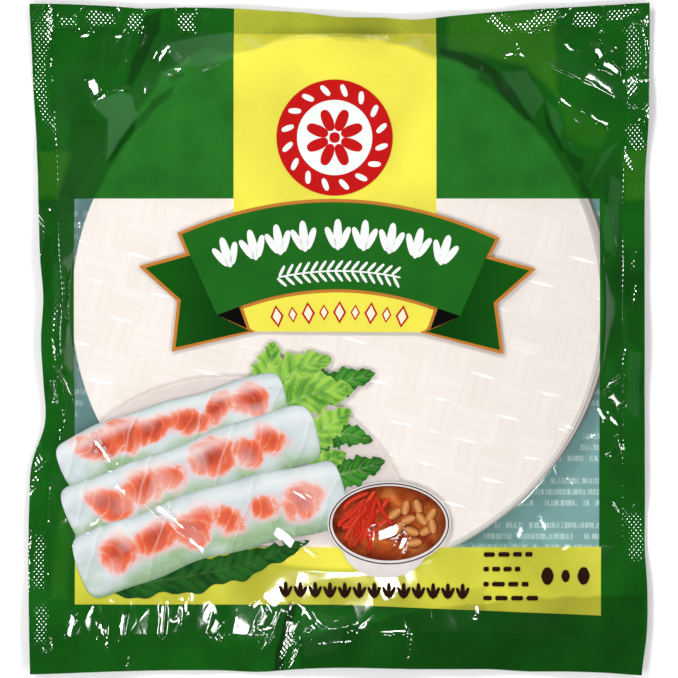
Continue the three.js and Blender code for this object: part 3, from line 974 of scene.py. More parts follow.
# %% Printed film
FILM_IOR = 1.5
FAR = 200.0
WINDOW_X = (-109.1, 107.4)
WINDOW_Y = (-85.8, 57.8)
BAND_X = (-43.4, 40.1)
BAND_Y = (30.0, FAR)
STRIP_X = (-109.1, 108.2)
STRIP_Y = (-FAR, WINDOW_Y[0])


def in_rectangle(tree, x, y, across, up):
    """1 where x and y in m lie within half a size of the middle of a rectangle in mm, else 0."""
    inside = []
    for value, (first, last) in ((x, across), (y, up)):
        middle, half = 0.5 * (first + last) * MM, 0.5 * (last - first) * MM
        inside.append(node(tree, "Math", (value, middle, half), operation="COMPARE"))
    return node(tree, "Math", inside, operation="MULTIPLY")


def clear_mirror(tree):
    """Clear film: transparent, and a weak mirror alike from both sides."""
    back = node(tree, "NewGeometry").outputs["Backfacing"]
    index = node(tree, "MapRange", (back, 0.0, 1.0, FILM_IOR, 1 / FILM_IOR))
    share = node(tree, "Fresnel", {"IOR": index})
    see_through = node(tree, "BsdfTransparent", {"Color": (0.99, 0.995, 0.995, 1)})
    mirror = node(tree, "BsdfGlossy", {"Roughness": 0.07})
    return node(tree, "MixShader", (share, see_through, mirror))


def gloss(tree, colour, roughness=0.1):
    """Ink under smooth film: IOR 1.5 is polypropylene's, and rolled film is nearly a mirror."""
    finish = {"Base Color": colour, "Roughness": roughness, "IOR": FILM_IOR}
    return node(tree, "BsdfPrincipled", finish)


def printed_film():
    """Reverse-printed polypropylene film with its window."""
    made, tree = material("reverse_printed_polypropylene")
    x, y, z = place_on_piece(tree)
    window = in_rectangle(tree, x, y, WINDOW_X, WINDOW_Y)
    band = in_rectangle(tree, x, y, BAND_X, BAND_Y)
    clear = node(tree, "Math", (window, band), operation="SUBTRACT")
    lower_edge = node(tree, "MapRange", (x, 0.0, 0.12, -0.1096, -0.1148))
    strip = node(tree, "Math", (y, lower_edge), operation="GREATER_THAN")
    inside = in_rectangle(tree, x, y, STRIP_X, STRIP_Y)
    strip = node(tree, "Math", (strip, inside), operation="MULTIPLY")

    # Painted light from the shares: the ink is lighter where backed, the second share is painted
    # shade, the third painted sheen, below 0 painted warm light
    backed, dark, sheen_and_warm_light = tone_of(tree)
    painted_sheen = node(tree, "Math", (sheen_and_warm_light, 0.0), operation="MAXIMUM")
    warm = node(tree, "Math", (sheen_and_warm_light, -1.0), operation="MULTIPLY")
    warm = node(tree, "Math", (warm, 0.0), operation="MAXIMUM")
    greens = mottled(tree, "#0F500F", 0.16, 17), mottled(tree, "#226820", 0.13, 12)
    green = node(tree, "Mix", (backed, *greens), data_type="RGBA")
    for share, hex_colour in ((painted_sheen, "#5E9266"), (warm, "#296613")):
        green = node(tree, "Mix", (share, green, linear(hex_colour)), data_type="RGBA")
    yellows = mottled(tree, "#BDBB3A", 0.1, 20), mottled(tree, "#E2D84C", 0.03, 18)
    yellow = node(tree, "Mix", (backed, *yellows), data_type="RGBA")
    unsealed = node(tree, "MapRange", (y, 0.1258, 0.1264, 1.0, 0.0))
    sealed = mottled(tree, "#989E2F", 0.1, 12)
    yellow = node(tree, "Mix", (unsealed, sealed, yellow), data_type="RGBA")
    is_yellow = node(tree, "Math", (band, strip), operation="MAXIMUM")
    colour = node(tree, "Mix", (is_yellow, green, yellow), data_type="RGBA")
    # The painted shade darkens the colour, and lightens it on some facets
    colour = node(tree, "HueSaturation", {"Color": colour, "Value": dark})
    both = node(tree, "MixShader", (clear, gloss(tree, colour), clear_mirror(tree)))
    node(tree, "OutputMaterial", {"Surface": both})
    return made


front_print = printed_film()
print("nodes of the printed film:", len(front_print.node_tree.nodes))

# %% Front film
FILM_STEP = 0.45
PARTS = {
    # the height in mm at which each part ends, and its own group of lamps
    "foot": (-86, "foot"),
    "low_window": (-34, "window"),
    "mid_window": (12, "window"),
    "high_window": (58, "window"),
    "shoulder": (100, None),
    "head": (140, None),
}
across = np.arange(SEAL_LEFT, POUCH_WIDTH - SEAL_RIGHT, FILM_STEP)
across = np.append(across, POUCH_WIDTH - SEAL_RIGHT) / POUCH_WIDTH
up = np.arange(SEAL_BOTTOM, POUCH_LENGTH - SEAL_TOP, FILM_STEP)
up = np.append(up, POUCH_LENGTH - SEAL_TOP) / POUCH_LENGTH
film_x, film_y = pouch_point(*np.meshgrid(across, up))
film_z = front_height(film_x, film_y)
first = 0
for part, (limit, lamps) in PARTS.items():
    last = min(int((up * POUCH_LENGTH + low[1] < limit).sum()), len(up) - 1)
    grid = [values[first : last + 1] for values in (film_x, film_y, film_z)]
    tones = [ink_tone(*grid[:2])]
    piece = add_piece("front_film_" + part, [grid], front_print, tones, lamps=lamps)
    UNSHADED.objects.link(piece)
    first = last
for entry in UNSHADED.collection_objects:
    entry.light_linking.link_state = "EXCLUDE"

# %% [markdown]
# ## Seals
#
# The edges are welded between hot jaws whose teeth leave a fine knurl, and the knurl is what
# makes the seals sparkle. A bump map would glint alike from everywhere, so the teeth are
# modelled: a product of two cosines, sampled six times in each tooth. The top jaw is straight,
# so that seal ends at a level line, though the edge above it is drawn in.

# %% Seals
TOOTH_PITCH = (1.9, 2.3)
TOOTH = 0.075
SEAL_STEP = (TOOTH_PITCH[0] / 6, TOOTH_PITCH[1] / 6)
SEAL_OVERLAP = 0.4


def knurl(x, y):
    """The jaws' teeth: height * cos(2 pi x / pitch) * cos(2 pi y / pitch), in staggered rows."""
    return TOOTH * np.cos(2 * np.pi * x / TOOTH_PITCH[0]) * np.cos(2 * np.pi * y / TOOTH_PITCH[1])


def seal_band(first_x, last_x, first_y, last_y):
    """Both faces and the rim of one welded band, as three grids. Limits are in mm of the box.

    The lower limit may be a line instead: places across and the height at each.
    """
    across = np.append(np.arange(first_x, last_x - 0.1, SEAL_STEP[0]), last_x)
    if np.ndim(first_y):
        first_y = np.interp(across, *first_y)
    share = np.linspace(0, 1, int((last_y - np.min(first_y)) / SEAL_STEP[1]) + 2)
    up = first_y + (last_y - first_y) * share[:, None] + 0 * across
    across = across + 0 * up
    x, y = pouch_point(across / POUCH_WIDTH, up / POUCH_LENGTH)
    top = front_height(x, y) + 0.02 + TOOTH + knurl(across, up)
    under = np.maximum(top - 1.5 * FILM_GAP, 0.1)
    rim_x, rim_y, rim_under, rim_top = (
        np.concatenate([g[0, :-1], g[:-1, -1], g[-1, :0:-1], g[:0:-1, 0], g[0, :1]])
        for g in (x, y, under, top)
    )
    wall = (np.stack([rim_x] * 2), np.stack([rim_y] * 2), np.stack([rim_under, rim_top]))
    return [(x, y, top), (x[:, ::-1], y[:, ::-1], under[:, ::-1]), wall]


inner_left, inner_right = SEAL_LEFT + SEAL_OVERLAP, POUCH_WIDTH - SEAL_RIGHT - SEAL_OVERLAP
inner_low, inner_high = SEAL_BOTTOM + SEAL_OVERLAP, POUCH_LENGTH - SEAL_TOP - SEAL_OVERLAP
columns = np.linspace(0, POUCH_WIDTH, 60)
inner_top = TOP_LINE - low[1] + through(TOP_DRAW, columns / POUCH_WIDTH)
inner_top = np.minimum(inner_top, inner_high)
SEAL_BANDS = {
    "left_seal": (0, inner_left, 0, POUCH_LENGTH),
    "right_seal": (inner_right, POUCH_WIDTH, 0, POUCH_LENGTH),
    "bottom_seal": (inner_left, inner_right, 0, inner_low),
    "top_seal": (inner_left, inner_right, (columns, inner_top), POUCH_LENGTH),
}
for band_name, limits in SEAL_BANDS.items():
    grids = seal_band(*limits)
    tones = [ink_tone(x, y) for x, y, z in grids]
    add_piece(band_name, grids, front_print, tones, lamps="seal")

# %% [markdown]
# ## The back film
#
# Through the window, beside the sheets, the inside of the back film shows: blue-green, with
# pale rows of small print seen from behind. At this size print is only texture, so each row is
# noise cut into strokes, and every fourth row is left empty as between paragraphs.

# %% Back film
ROW_PITCH = 4.6
STROKE_PITCH = 2.3


def printed_back():
    """Blue-green ink on polypropylene, with rows of pale broken strokes."""
    made, tree = material("back_printed_polypropylene")
    x, y, z = place_on_piece(tree)
    row = node(tree, "Math", (y, 1 / (ROW_PITCH * MM)), operation="MULTIPLY")
    line = node(tree, "Math", (row,), operation="FLOOR")
    group = node(tree, "Math", (x, 1 / (STROKE_PITCH * MM)), operation="MULTIPLY")
    group = node(tree, "Math", (group,), operation="FLOOR")
    cell = node(tree, "CombineXYZ", (group, line))
    chance = node(tree, "TexWhiteNoise", (cell,), noise_dimensions="2D")
    fine = node(tree, "Math", (x, 2600), operation="MULTIPLY")
    fine = node(tree, "CombineXYZ", (fine, row))
    fine = node(tree, "TexNoise", {"Vector": fine, "Scale": 1.0, "Detail": 0.0})
    fourth = node(tree, "Math", (line, 0.25), operation="MULTIPLY")
    fourth = node(tree, "Math", (fourth,), operation="FRACT")
    in_row = node(tree, "Math", (row,), operation="FRACT")
    share = node(tree, "Math", (in_row, 0.5), operation="LESS_THAN")
    for value, limit in ((chance, 0.24), (fine, 0.47), (fourth, 0.1)):
        inked = node(tree, "Math", (value, limit), operation="GREATER_THAN")
        share = node(tree, "Math", (share, inked), operation="MULTIPLY")
    share = node(tree, "Math", (share, 0.55), operation="MULTIPLY")
    teal = mottled(tree, "#739B9A", 0.08, 14)
    colour = node(tree, "Mix", (share, teal, linear("#C9DBD6")), data_type="RGBA")
    node(tree, "OutputMaterial", {"Surface": gloss(tree, colour, 0.3)})
    return made


back_s = np.linspace(SEAL_LEFT - 0.5, POUCH_WIDTH - SEAL_RIGHT + 0.5, 280) / POUCH_WIDTH
back_t = np.linspace(SEAL_BOTTOM - 0.5, POUCH_LENGTH - SEAL_TOP + 0.5, 300) / POUCH_LENGTH
back_x, back_y = pouch_point(*np.meshgrid(back_s[::-1], back_t))
back_z = back_under_front(back_x, back_y)
add_piece("back_film", [(back_x, back_y, back_z)], printed_back())

# %% [markdown]
# ## The rice sheets
#
# Each sheet is steamed rice batter, dried on a bamboo mat until it is thin and brittle. Thirty
# of them slide a little over one another in the pouch, so the lower ones show at the right.
# Each is a closed disc, its rim rounded, and the top one carries the weave of the mat.

# %% Sheet material
RICE = {"Roughness": 0.45, "IOR": 1.45}


def chequer(tree, column, row):
    """0 and 1 by turns from cell to cell: what is left of column + row after whole twos."""
    total = node(tree, "Math", (column, row), operation="ADD")
    rest = node(tree, "Math", (total, 2.0), operation="MODULO")
    return node(tree, "Math", (rest,), operation="ABSOLUTE")


def rice_sheet():
    """Dry translucent sheet: slats a little uneven, painted glints as pale lenses, painted shade.
    """
    made, tree = material("dry_rice_sheet")
    p, q, _ = tone_of(tree)
    column = node(tree, "Math", (p,), operation="FLOOR")
    row = node(tree, "Math", (q,), operation="FLOOR")
    over = node(tree, "Mix", (chequer(tree, column, row), q, p))
    over = node(tree, "Math", (over, SLATS), operation="MULTIPLY")
    slat = node(tree, "Math", (over,), operation="FLOOR")
    cell = node(tree, "CombineXYZ", (column, row, slat))
    chance = node(tree, "TexWhiteNoise", (cell,), noise_dimensions="3D")
    tones = mottled(tree, "#E5DCD5", 0.02, 30), mottled(tree, "#EAE1DB", 0.02, 22)
    colour = node(tree, "Mix", (chance, *tones), data_type="RGBA")
    groove = node(tree, "Math", (over, 0.5), operation="PINGPONG")
    groove = node(tree, "MapRange", (groove, 0.0, 0.3, 0.2, 0.0))
    colour = node(tree, "Mix", (groove, colour, linear("#D8CDC5")), data_type="RGBA")

    # Painted glints: paler lenses along the lower edge of raised cells, where the film over them
    # would mirror a lamp
    near_row = node(tree, "Math", (q,), operation="ROUND")
    raised = node(tree, "Math", (chequer(tree, column, near_row), 0.5), operation="LESS_THAN")
    along = node(tree, "Math", (p,), operation="FRACT")
    along = node(tree, "Math", (along, 0.5), operation="SUBTRACT")
    along = node(tree, "Math", (along, along), operation="MULTIPLY")
    lens = node(tree, "Math", (along, -0.22, 0.055), operation="MULTIPLY_ADD")
    off = node(tree, "Math", (q, near_row), operation="SUBTRACT")
    off = node(tree, "Math", (off,), operation="ABSOLUTE")
    inside = node(tree, "Math", (lens, off), operation="SUBTRACT")
    share = node(tree, "MapRange", (inside, 0.0, 0.035))
    pair = node(tree, "CombineXYZ", (column, near_row))
    chance = node(tree, "TexWhiteNoise", (pair,), noise_dimensions="2D")
    chance = node(tree, "MapRange", (chance, 0.15, 0.7))
    for value in (raised, chance):
        share = node(tree, "Math", (share, value), operation="MULTIPLY")
    colour = node(tree, "Mix", (share, colour, linear("#FFFCF8")), data_type="RGBA")
    # Painted shade: the sheet darker towards the right
    shade_to_right = node(tree, "MapRange", (place_on_piece(tree)[0], 0.02, 0.1, 0.985, 0.91))
    colour = node(tree, "HueSaturation", {"Color": colour, "Value": shade_to_right})
    shader = node(tree, "BsdfPrincipled", {"Base Color": colour, **RICE})
    node(tree, "OutputMaterial", {"Surface": shader})
    return made


def stacked_sheets():
    """The sheets from the side: painted shade towards the bottom and a painted light band."""
    made, tree = material("stacked_rice_sheets")
    level = node(tree, "MapRange", (place_on_piece(tree)[2], 0.0, 9.0 * MM))
    # Painted shade: black at the floor and greys up the side, with a painted light band for the
    # light line along the stack's edge
    stops = (
        (0.0, "#000000"), (0.35, "#8F8680"), (0.42, "#E3D8CF"), (0.56, "#E9DFD7"),
        (0.62, "#B3A69E"), (0.8, "#CBBEB5"), (1.0, "#FFFFFF"),
    )
    rice = node(tree, "ValToRGB", (level,), stops)
    shader = node(tree, "BsdfPrincipled", {"Base Color": rice, **RICE})
    node(tree, "OutputMaterial", {"Surface": shader})
    return made


# %% Sheets
SHEET_COUNT = 30
SHEET_RADIUS = 109.2
SHEET_PITCH = 0.28
SHEET_BASE = 0.4

rng = np.random.default_rng(3)
stack = []
angle = np.linspace(0, 2 * np.pi, 200, endpoint=False)
for k in range(SHEET_COUNT):
    deep = 1 - k / (SHEET_COUNT - 1)
    c, s = heading(18 if deep > 0.6 else -30)
    slide = 0.3 + (3.3 if deep > 0.6 else 2.4) * min(1, 1.5 * deep) + rng.normal(0, 0.25)
    cx = STACK_X - 0.2 + slide * c
    cy = STACK_Y + slide * s + rng.normal(0, 0.3)
    radius = SHEET_RADIUS + 0.25 * np.sin(3 * angle + k) + rng.normal(0, 0.15)
    r = np.array([0.0, 0.5, 0.97, 1, 1, 0.97, 0.5, 0.0])[:, None] * radius
    z = np.array([0, 0, 0, 0.03, 0.2, 0.23, 0.23, 0.23])[:, None] + SHEET_BASE + k * SHEET_PITCH
    stack.append((cx + r * np.cos(angle), cy + r * np.sin(angle), z + 0 * r))
add_piece("lower_sheets", stack, stacked_sheets(), closed=True)

top_base = SHEET_BASE + SHEET_COUNT * SHEET_PITCH
ring = np.concatenate([[0, 0.997, 1], np.linspace(0.997, 0, 150)])
ring, angle = np.meshgrid(ring, np.linspace(0, 2 * np.pi, 600, endpoint=False), indexing="ij")
x = STACK_X - 0.2 + SHEET_RADIUS * ring * np.cos(angle)
y = STACK_Y + SHEET_RADIUS * ring * np.sin(angle)
z = top_base + 0.2 + 0.1 * weave(x, y)
z[:2] = top_base
z[2] = top_base + 0.1
add_piece("top_sheet", [(x, y, z)], rice_sheet(), [mat_place(x, y)], closed=True)

# %% [markdown]
# ## Printed shapes
#
# The banner, the badge and the serving picture are areas of ink with crisp outlines. Each is a
# patch of mesh that follows the film a tenth of a millimetre above it, one layer over another
# in the order they overlap. A patch is drawn either outwards from a point inside its outline or
# along a path with a changing width.

# %% Patch helpers
FIRST_LIFT = 0.14
LAYER = 0.035


def on_film(x, y, layer):
    """A grid of points on a layer of ink: the film's height, a first lift and the layers below."""
    return x, y, front_height(x, y) + FIRST_LIFT + LAYER * layer


def polyline(points, step=1.0):
    """A closed outline with extra points on each side, about one step in mm apart."""
    points = np.array(points, float)
    parts = []
    for a, b in zip(points, np.roll(points, -1, axis=0)):
        count = max(1, int(np.hypot(*(b - a)) / step))
        parts.append(a + (b - a) * (np.arange(count) / count)[:, None])
    return np.concatenate(parts)


def bow(start, end, rise, count=40):
    """Points of an arc from start towards end: the chord plus a parabola of the given rise."""
    share = (np.arange(count) / count)[:, None]
    start, end = np.array(start, float), np.array(end, float)
    return start + (end - start) * share + np.array([[0, rise]]) * 4 * share * (1 - share)


def grown(points, distance):
    """A polygon moved outwards: each corner goes to where its two shifted sides meet."""
    points = np.array(points, float)
    before, after = points - np.roll(points, 1, axis=0), np.roll(points, -1, axis=0) - points
    before /= np.hypot(before[:, 0], before[:, 1])[:, None]
    after /= np.hypot(after[:, 0], after[:, 1])[:, None]
    out_before = np.stack([before[:, 1], -before[:, 0]], axis=1)
    out_after = np.stack([after[:, 1], -after[:, 0]], axis=1)
    mitre = out_before + out_after
    spread = np.maximum(1 + (out_before * out_after).sum(1), 0.35)
    return points + distance * mitre / spread[:, None]


def filled(outline, middle, layer, step=1.3):
    """A patch inside an outline: points at even shares of the way out from its middle."""
    outline, middle = np.array(outline, float), np.array(middle, float)
    reach = np.hypot(*(outline - middle).T).max()
    share = np.linspace(1, 0.002, max(3, int(reach / step)))[:, None]
    x = middle[0] + (outline[:, 0] - middle[0]) * share
    y = middle[1] + (outline[:, 1] - middle[1]) * share
    around = np.linspace(0, 1, len(outline), endpoint=False)
    shares = (np.broadcast_to(around, x.shape).copy(), np.broadcast_to(share, x.shape).copy())
    return on_film(x, y, layer), shares


def ellipse(cx, cy, rx, ry, count=72, turn=0.0):
    """An outline of points round an ellipse, turned by some degrees."""
    angle = np.linspace(0, 2 * np.pi, count, endpoint=False)
    ex, ey = turned(rx * np.cos(angle), ry * np.sin(angle), -turn)
    return np.stack([cx + ex, cy + ey], axis=1)


def ribbon(path, widths, layer, ends=2.0, steps=(24, 6)):
    """A patch along a smooth path. Half widths run along it, and ends sets how blunt it is."""
    path, widths = np.array(path, float), np.array(widths, float)
    u = np.linspace(0, 1, steps[0])
    v = np.linspace(0, 1, steps[1])
    px, py = through(path[:, 0], u), through(path[:, 1], u)
    tx, ty = np.gradient(px), np.gradient(py)
    length = np.hypot(tx, ty)
    half = through(widths, u) * np.maximum(1 - np.abs(2 * u - 1) ** ends, 0.0005) ** 0.5
    side = (2 * v - 1)[:, None] * half
    x, y = px - ty / length * side, py + tx / length * side
    shares = np.meshgrid(u, v)
    return on_film(x, y, layer), tuple(shares)


def ring_ribbon(outline, width, layer):
    """A line of ink along a closed outline, its width centred on it."""
    outline = np.array(outline, float)
    step = np.roll(outline, -1, axis=0) - np.roll(outline, 1, axis=0)
    step /= np.hypot(step[:, 0], step[:, 1])[:, None]
    side = np.array([-0.5, 0.5])[:, None] * width
    x = outline[:, 0] - step[:, 1] * side
    y = outline[:, 1] + step[:, 0] * side
    shares = (np.zeros_like(x), np.zeros_like(x))
    return on_film(x, y, layer), shares


def ink_piece(name, patches, surface, closed):
    """One piece of the print from a list of patches."""
    grids, shares = zip(*patches)
    return add_piece(name, grids, surface, shares, closed)


def plain_ink(name, hex_colour, amount=0.05, size_mm=9):
    """Opaque flexographic ink of one colour under glossy film, slightly uneven in density."""
    made, tree = material(name)
    colour = mottled(tree, hex_colour, amount, size_mm)
    node(tree, "OutputMaterial", {"Surface": gloss(tree, colour)})
    return made


# %% [markdown]
# ## Banner
#
# The ribbon across the window is an arched panel with two folded tails. Its outline is a row of
# corners joined by straight lines and bows. The orange line round it is the same outline grown
# outwards on a lower layer, so that the two always fit.

# %% Banner
UPPER_LEFT, UPPER_RIGHT = (-64.8, 43.0), (64.3, 40.9)
LOWER_LEFT, LOWER_RIGHT = (-50.2, 9.9), (49.9, 9.4)
INNER_LEFT, INNER_RIGHT = (-41.1, 13.3), (40.7, 12.7)
body = np.concatenate([
    polyline([LOWER_LEFT, INNER_LEFT])[:9],
    bow(INNER_LEFT, INNER_RIGHT, 7.5, 80),
    polyline([INNER_RIGHT, LOWER_RIGHT])[:9],
    polyline([LOWER_RIGHT, (60.6, 33.6)])[:26],
    polyline([(60.6, 33.6), UPPER_RIGHT])[:8],
    bow(UPPER_RIGHT, UPPER_LEFT, 14.3, 130),
    polyline([UPPER_LEFT, (-61.4, 34.8)])[:8],
    polyline([(-61.4, 34.8), LOWER_LEFT])[:27],
])
tail_left = [(-79.7, 29.3), (-65.1, 16.2), (-67.3, -3.5), (-36.9, 3.4), LOWER_LEFT, (-57, 35.6)]
tail_right = [(78.4, 28.2), (56, 34.4), LOWER_RIGHT, (36.0, 3.0), (66.2, -4.6), (63.6, 15.0)]
fold_left = [LOWER_LEFT, (-37.9, 4.4), INNER_LEFT]
fold_right = [LOWER_RIGHT, INNER_RIGHT, (37.6, 4.0)]
MIDDLES = {"left": (-58, 12), "right": (58, 11)}

panel_ink = plain_ink("yellow_flexographic_ink", "#E2D84C", 0.03, 18)
panel = [(-41.5, 24), (-40.9, 13.2), (-36.3, 3.1), (35.4, 2.8), (40.4, 12.6), (41.0, 24)]
ink_piece("banner_panel", [filled(polyline(panel), (0, 12), 0)], panel_ink, True)

orange_ink = plain_ink("orange_flexographic_ink", "#B8742E", 0.05, 9)
outline = 1.35
edges = [
    filled(grown(body, outline), (0, 33), 1, 0.8),
    filled(polyline(grown(tail_left, outline)), MIDDLES["left"], 1, 0.8),
    filled(polyline(grown(tail_right, outline)), MIDDLES["right"], 1, 0.8),
    filled(polyline(grown(fold_left, outline)), (-43, 9), 1),
    filled(polyline(grown(fold_right, outline)), (43, 9), 1),
]
ink_piece("banner_edge", edges, orange_ink, True)

made, tree = material("shaded_green_flexographic_ink")
out = node(tree, "Math", (place_on_piece(tree)[0],), operation="ABSOLUTE")
fade = node(tree, "MapRange", (out, 0.046, 0.072))
greens = linear("#083A0A"), mottled(tree, "#11500F", 0.06, 9)
shaded = node(tree, "Mix", (fade, *greens), data_type="RGBA")
node(tree, "OutputMaterial", {"Surface": gloss(tree, shaded)})
tails = [
    filled(polyline(tail_left), MIDDLES["left"], 2, 0.8),
    filled(polyline(tail_right), MIDDLES["right"], 2, 0.8),
]
ink_piece("banner_tails", tails, made, True)
black_ink = plain_ink("black_flexographic_ink", "#060606", 0.1, 9)
corners = [filled(polyline(fold_left), (-43, 9), 3), filled(polyline(fold_right), (43, 9), 3)]
ink_piece("banner_folds", corners, black_ink, True)
green_ink = plain_ink("green_flexographic_ink", "#1B5F19", 0.08, 12)
ink_piece("banner_body", [filled(body, (0, 33), 4, 0.8)], green_ink, True)

# %% [markdown]
# ## Ornaments
#
# Rows of rice grains stand where such a pack carries its lines of print. A grain is a short
# ribbon whose width is that of an ellipse, and three grains make a sprout.

# %% Rows of grains
white_ink = plain_ink("white_flexographic_ink", "#E6E9E6", 0.02, 9)
red_ink = plain_ink("red_flexographic_ink", "#B81414", 0.05, 9)
dark_ink = plain_ink("dark_brown_flexographic_ink", "#241008", 0.1, 5)


def grain(x, y, length, width, degrees, layer, ends=2.0):
    """An ellipse of ink: its middle, full length and width in mm, and the way it points."""
    dx, dy = (0.5 * length * part for part in heading(degrees))
    path = [(x - dx, y - dy), (x, y), (x + dx, y + dy)]
    return ribbon(path, [width / 2] * 3, layer, ends, (14, 5))


def along_arc(x, top, fall):
    """Height of an arched row at x, and the degrees its upright leans there."""
    return top - fall * x * x, math.degrees(math.atan2(1, 2 * fall * x))


def sprout(x, y, size, upright, layer):
    """Three grains from one foot: a long upright one and two that lean out."""
    c, s = heading(upright - 90)
    made = [grain(x, y, 13.0 * size, 3.5 * size, upright, layer)]
    for lean in (-1, 1):
        gx = x + size * (2.9 * lean * c + 1.2 * s)
        gy = y + size * (2.9 * lean * s - 1.2 * c)
        made.append(grain(gx, gy, 9.5 * size, 2.9 * size, upright - 24 * lean, layer))
    return made


row = []
for x in (-46.5, -35.5, -25, -14.5, -0.5, 10.5, 21.5, 32.5, 43.5):
    y, upright = along_arc(x, 43.0, 0.0034)
    row += sprout(x, y, 1.0, upright, 5)
ink_piece("large_grains", row, white_ink, False)

path = [(x, along_arc(x, 28.0, 0.0042)[0]) for x in np.linspace(-25, 25.5, 9)]
row = [ribbon(path, [0.35] * 3, 5, 40, (60, 3))]
for x in np.linspace(-23.5, 23.5, 15):
    y, upright = along_arc(x, 28.0, 0.0042)
    for lean in (-1, 1):
        row.append(grain(x, y + 2.3 * lean, 5.2, 1.25, upright - 90 + 52 * lean, 5))
ink_piece("fine_grains", row, white_ink, False)

row, rims = [], []
for k, x in enumerate(np.linspace(-25.5, 26, 9)):
    y, upright = along_arc(x, 11.0, 0.0026)
    size = 1.0 if k % 2 == 0 else 0.72
    rims.append(filled(polyline(ellipse(x, y, 4.6 * size, 2.7 * size, 4, upright)), (x, y), 5))
    row.append(filled(polyline(ellipse(x, y, 3.3 * size, 1.8 * size, 4, upright)), (x, y), 6))
ink_piece("red_lozenges", rims, red_ink, True)
cream_ink = plain_ink("cream_flexographic_ink", "#EFE3C8", 0.02, 9)
ink_piece("cream_lozenges", row, cream_ink, True)

row = []
for x in np.linspace(-22, 51, 13):
    row += sprout(x, -103.3 - 0.012 * (x + 22), 0.52, 90, 3)
ink_piece("dark_grains", row, dark_ink, False)

# %% Small print bars
bars = []
rng = np.random.default_rng(5)
for y, end in ((-88.8, 79), (-94.9, 77), (-101.2, 79), (-107.0, 84)):
    x = 59.5
    while x < end - 2:
        length = rng.uniform(2.2, 5.5)
        path = [(x, y), (x + length / 2, y), (x + length, y)]
        bars.append(ribbon(path, [0.95] * 3, 3, 12, (8, 3)))
        x += length + 1.2
for x, size in ((86, 1.0), (93.5, 0.7), (101, 1.0)):
    bars.append(grain(x, -97.8, 7.4 * size, 5.2 * size, 90, 3, 1.2))
ink_piece("small_bars", bars, dark_ink, False)

# %% [markdown]
# ## Badge
#
# The round mark over the window is a red disc with a pale field. Its ornament is made of the
# same grains, set round one middle: a ring that leans like rope, and a flower inside it.

# %% Badge
BADGE = (-1.8, 82.9)
ink_piece("badge_disc", [filled(ellipse(*BADGE, 23.9, 23.9, 110), BADGE, 1)], red_ink, True)
ink_piece("badge_field", [filled(ellipse(*BADGE, 15.5, 15.5, 90), BADGE, 2)], white_ink, True)


def wreath(count, out, length, width, lean):
    """Grains at even turns round the badge's middle, each pointing outwards plus a lean."""
    made = []
    for turn in (np.arange(count) + 0.5) * 360 / count:
        c, s = heading(turn)
        made.append(grain(BADGE[0] + out * c, BADGE[1] + out * s, length, width, turn + lean, 3))
    return made


ink_piece("badge_grains", wreath(16, 19.7, 5.4, 2.3, 32), white_ink, False)
flower = [*wreath(8, 7.6, 9.4, 4.6, 0), grain(*BADGE, 4.4, 4.4, 0, 3)]
ink_piece("badge_flower", flower, red_ink, False)

# %% [markdown]
# ## The serving picture
#
# The lower left of such a pack shows how the sheets are used: pale rolls with a coral filling
# seen through them, salad leaves and a bowl of dip. Each is a few patches with soft, uneven
# colour, in the order in which they overlap.

# %% Picture inks


def cloud(tree, size_mm, detail=2.0, distortion=0.0, seed=0.0):
    """Soft noise with patches of a size in mm, about 0.3 to 0.7."""
    place = node(tree, "TexCoord").outputs["Object"]
    shift = node(tree, "Mapping", {"Vector": place, "Location": (seed, 0.3 * seed, 0)})
    settings = {"Scale": 1 / (size_mm * MM), "Detail": detail, "Distortion": distortion}
    return node(tree, "TexNoise", {"Vector": shift, **settings})


def strip_of_ink(path, half, layer, counts):
    """A grid round a path: u along it, v from its right side to its left, half widths from half."""
    path = np.array(path, float)
    u, v = np.meshgrid(np.linspace(0, 1, counts[0]), np.linspace(0, 1, counts[1]))
    px, py = through(path[:, 0], u), through(path[:, 1], u)
    tx, ty = np.gradient(px, axis=1), np.gradient(py, axis=1)
    side = (2 * v - 1) * half(u, v) / np.hypot(tx, ty)
    x, y = px - ty * side, py + tx * side
    return on_film(x, y, layer), u, v


# %% Printed sheet
made, tree = material("translucent_white_flexographic_ink")
clear = node(tree, "BsdfTransparent", {"Color": (1, 1, 1, 1)})
veil = gloss(tree, mottled(tree, "#E3D8D3", 0.02, 20))
shader = node(tree, "MixShader", (0.5, clear, veil))
node(tree, "OutputMaterial", {"Surface": shader})
SHEET = (-45.7, -83.4, 76, 68)
outline = np.clip(ellipse(*SHEET, 160), (-108.6, -85.0), (60, 0))
ink_piece("sheet_print", [filled(outline, (-45, -60), 0)], made, True)
rim_ink = plain_ink("pale_sheet_line", "#CFC4BD", 0.03, 9)
outline = ellipse(*SHEET, 240)
outline = outline[(outline[:, 1] > -76) & (outline[:, 0] > -108.6)]
ink_piece("sheet_line", [ribbon(outline[::4], [0.16] * 3, 0.5, 40, (160, 3))], rim_ink, False)

# %% [markdown]
# A salad leaf is a ruffled strip round its midrib. Veins and ruffles follow the strip's own two
# directions, so each point is given its tone in numbers and the ink only has to read them.

# %% Leaves


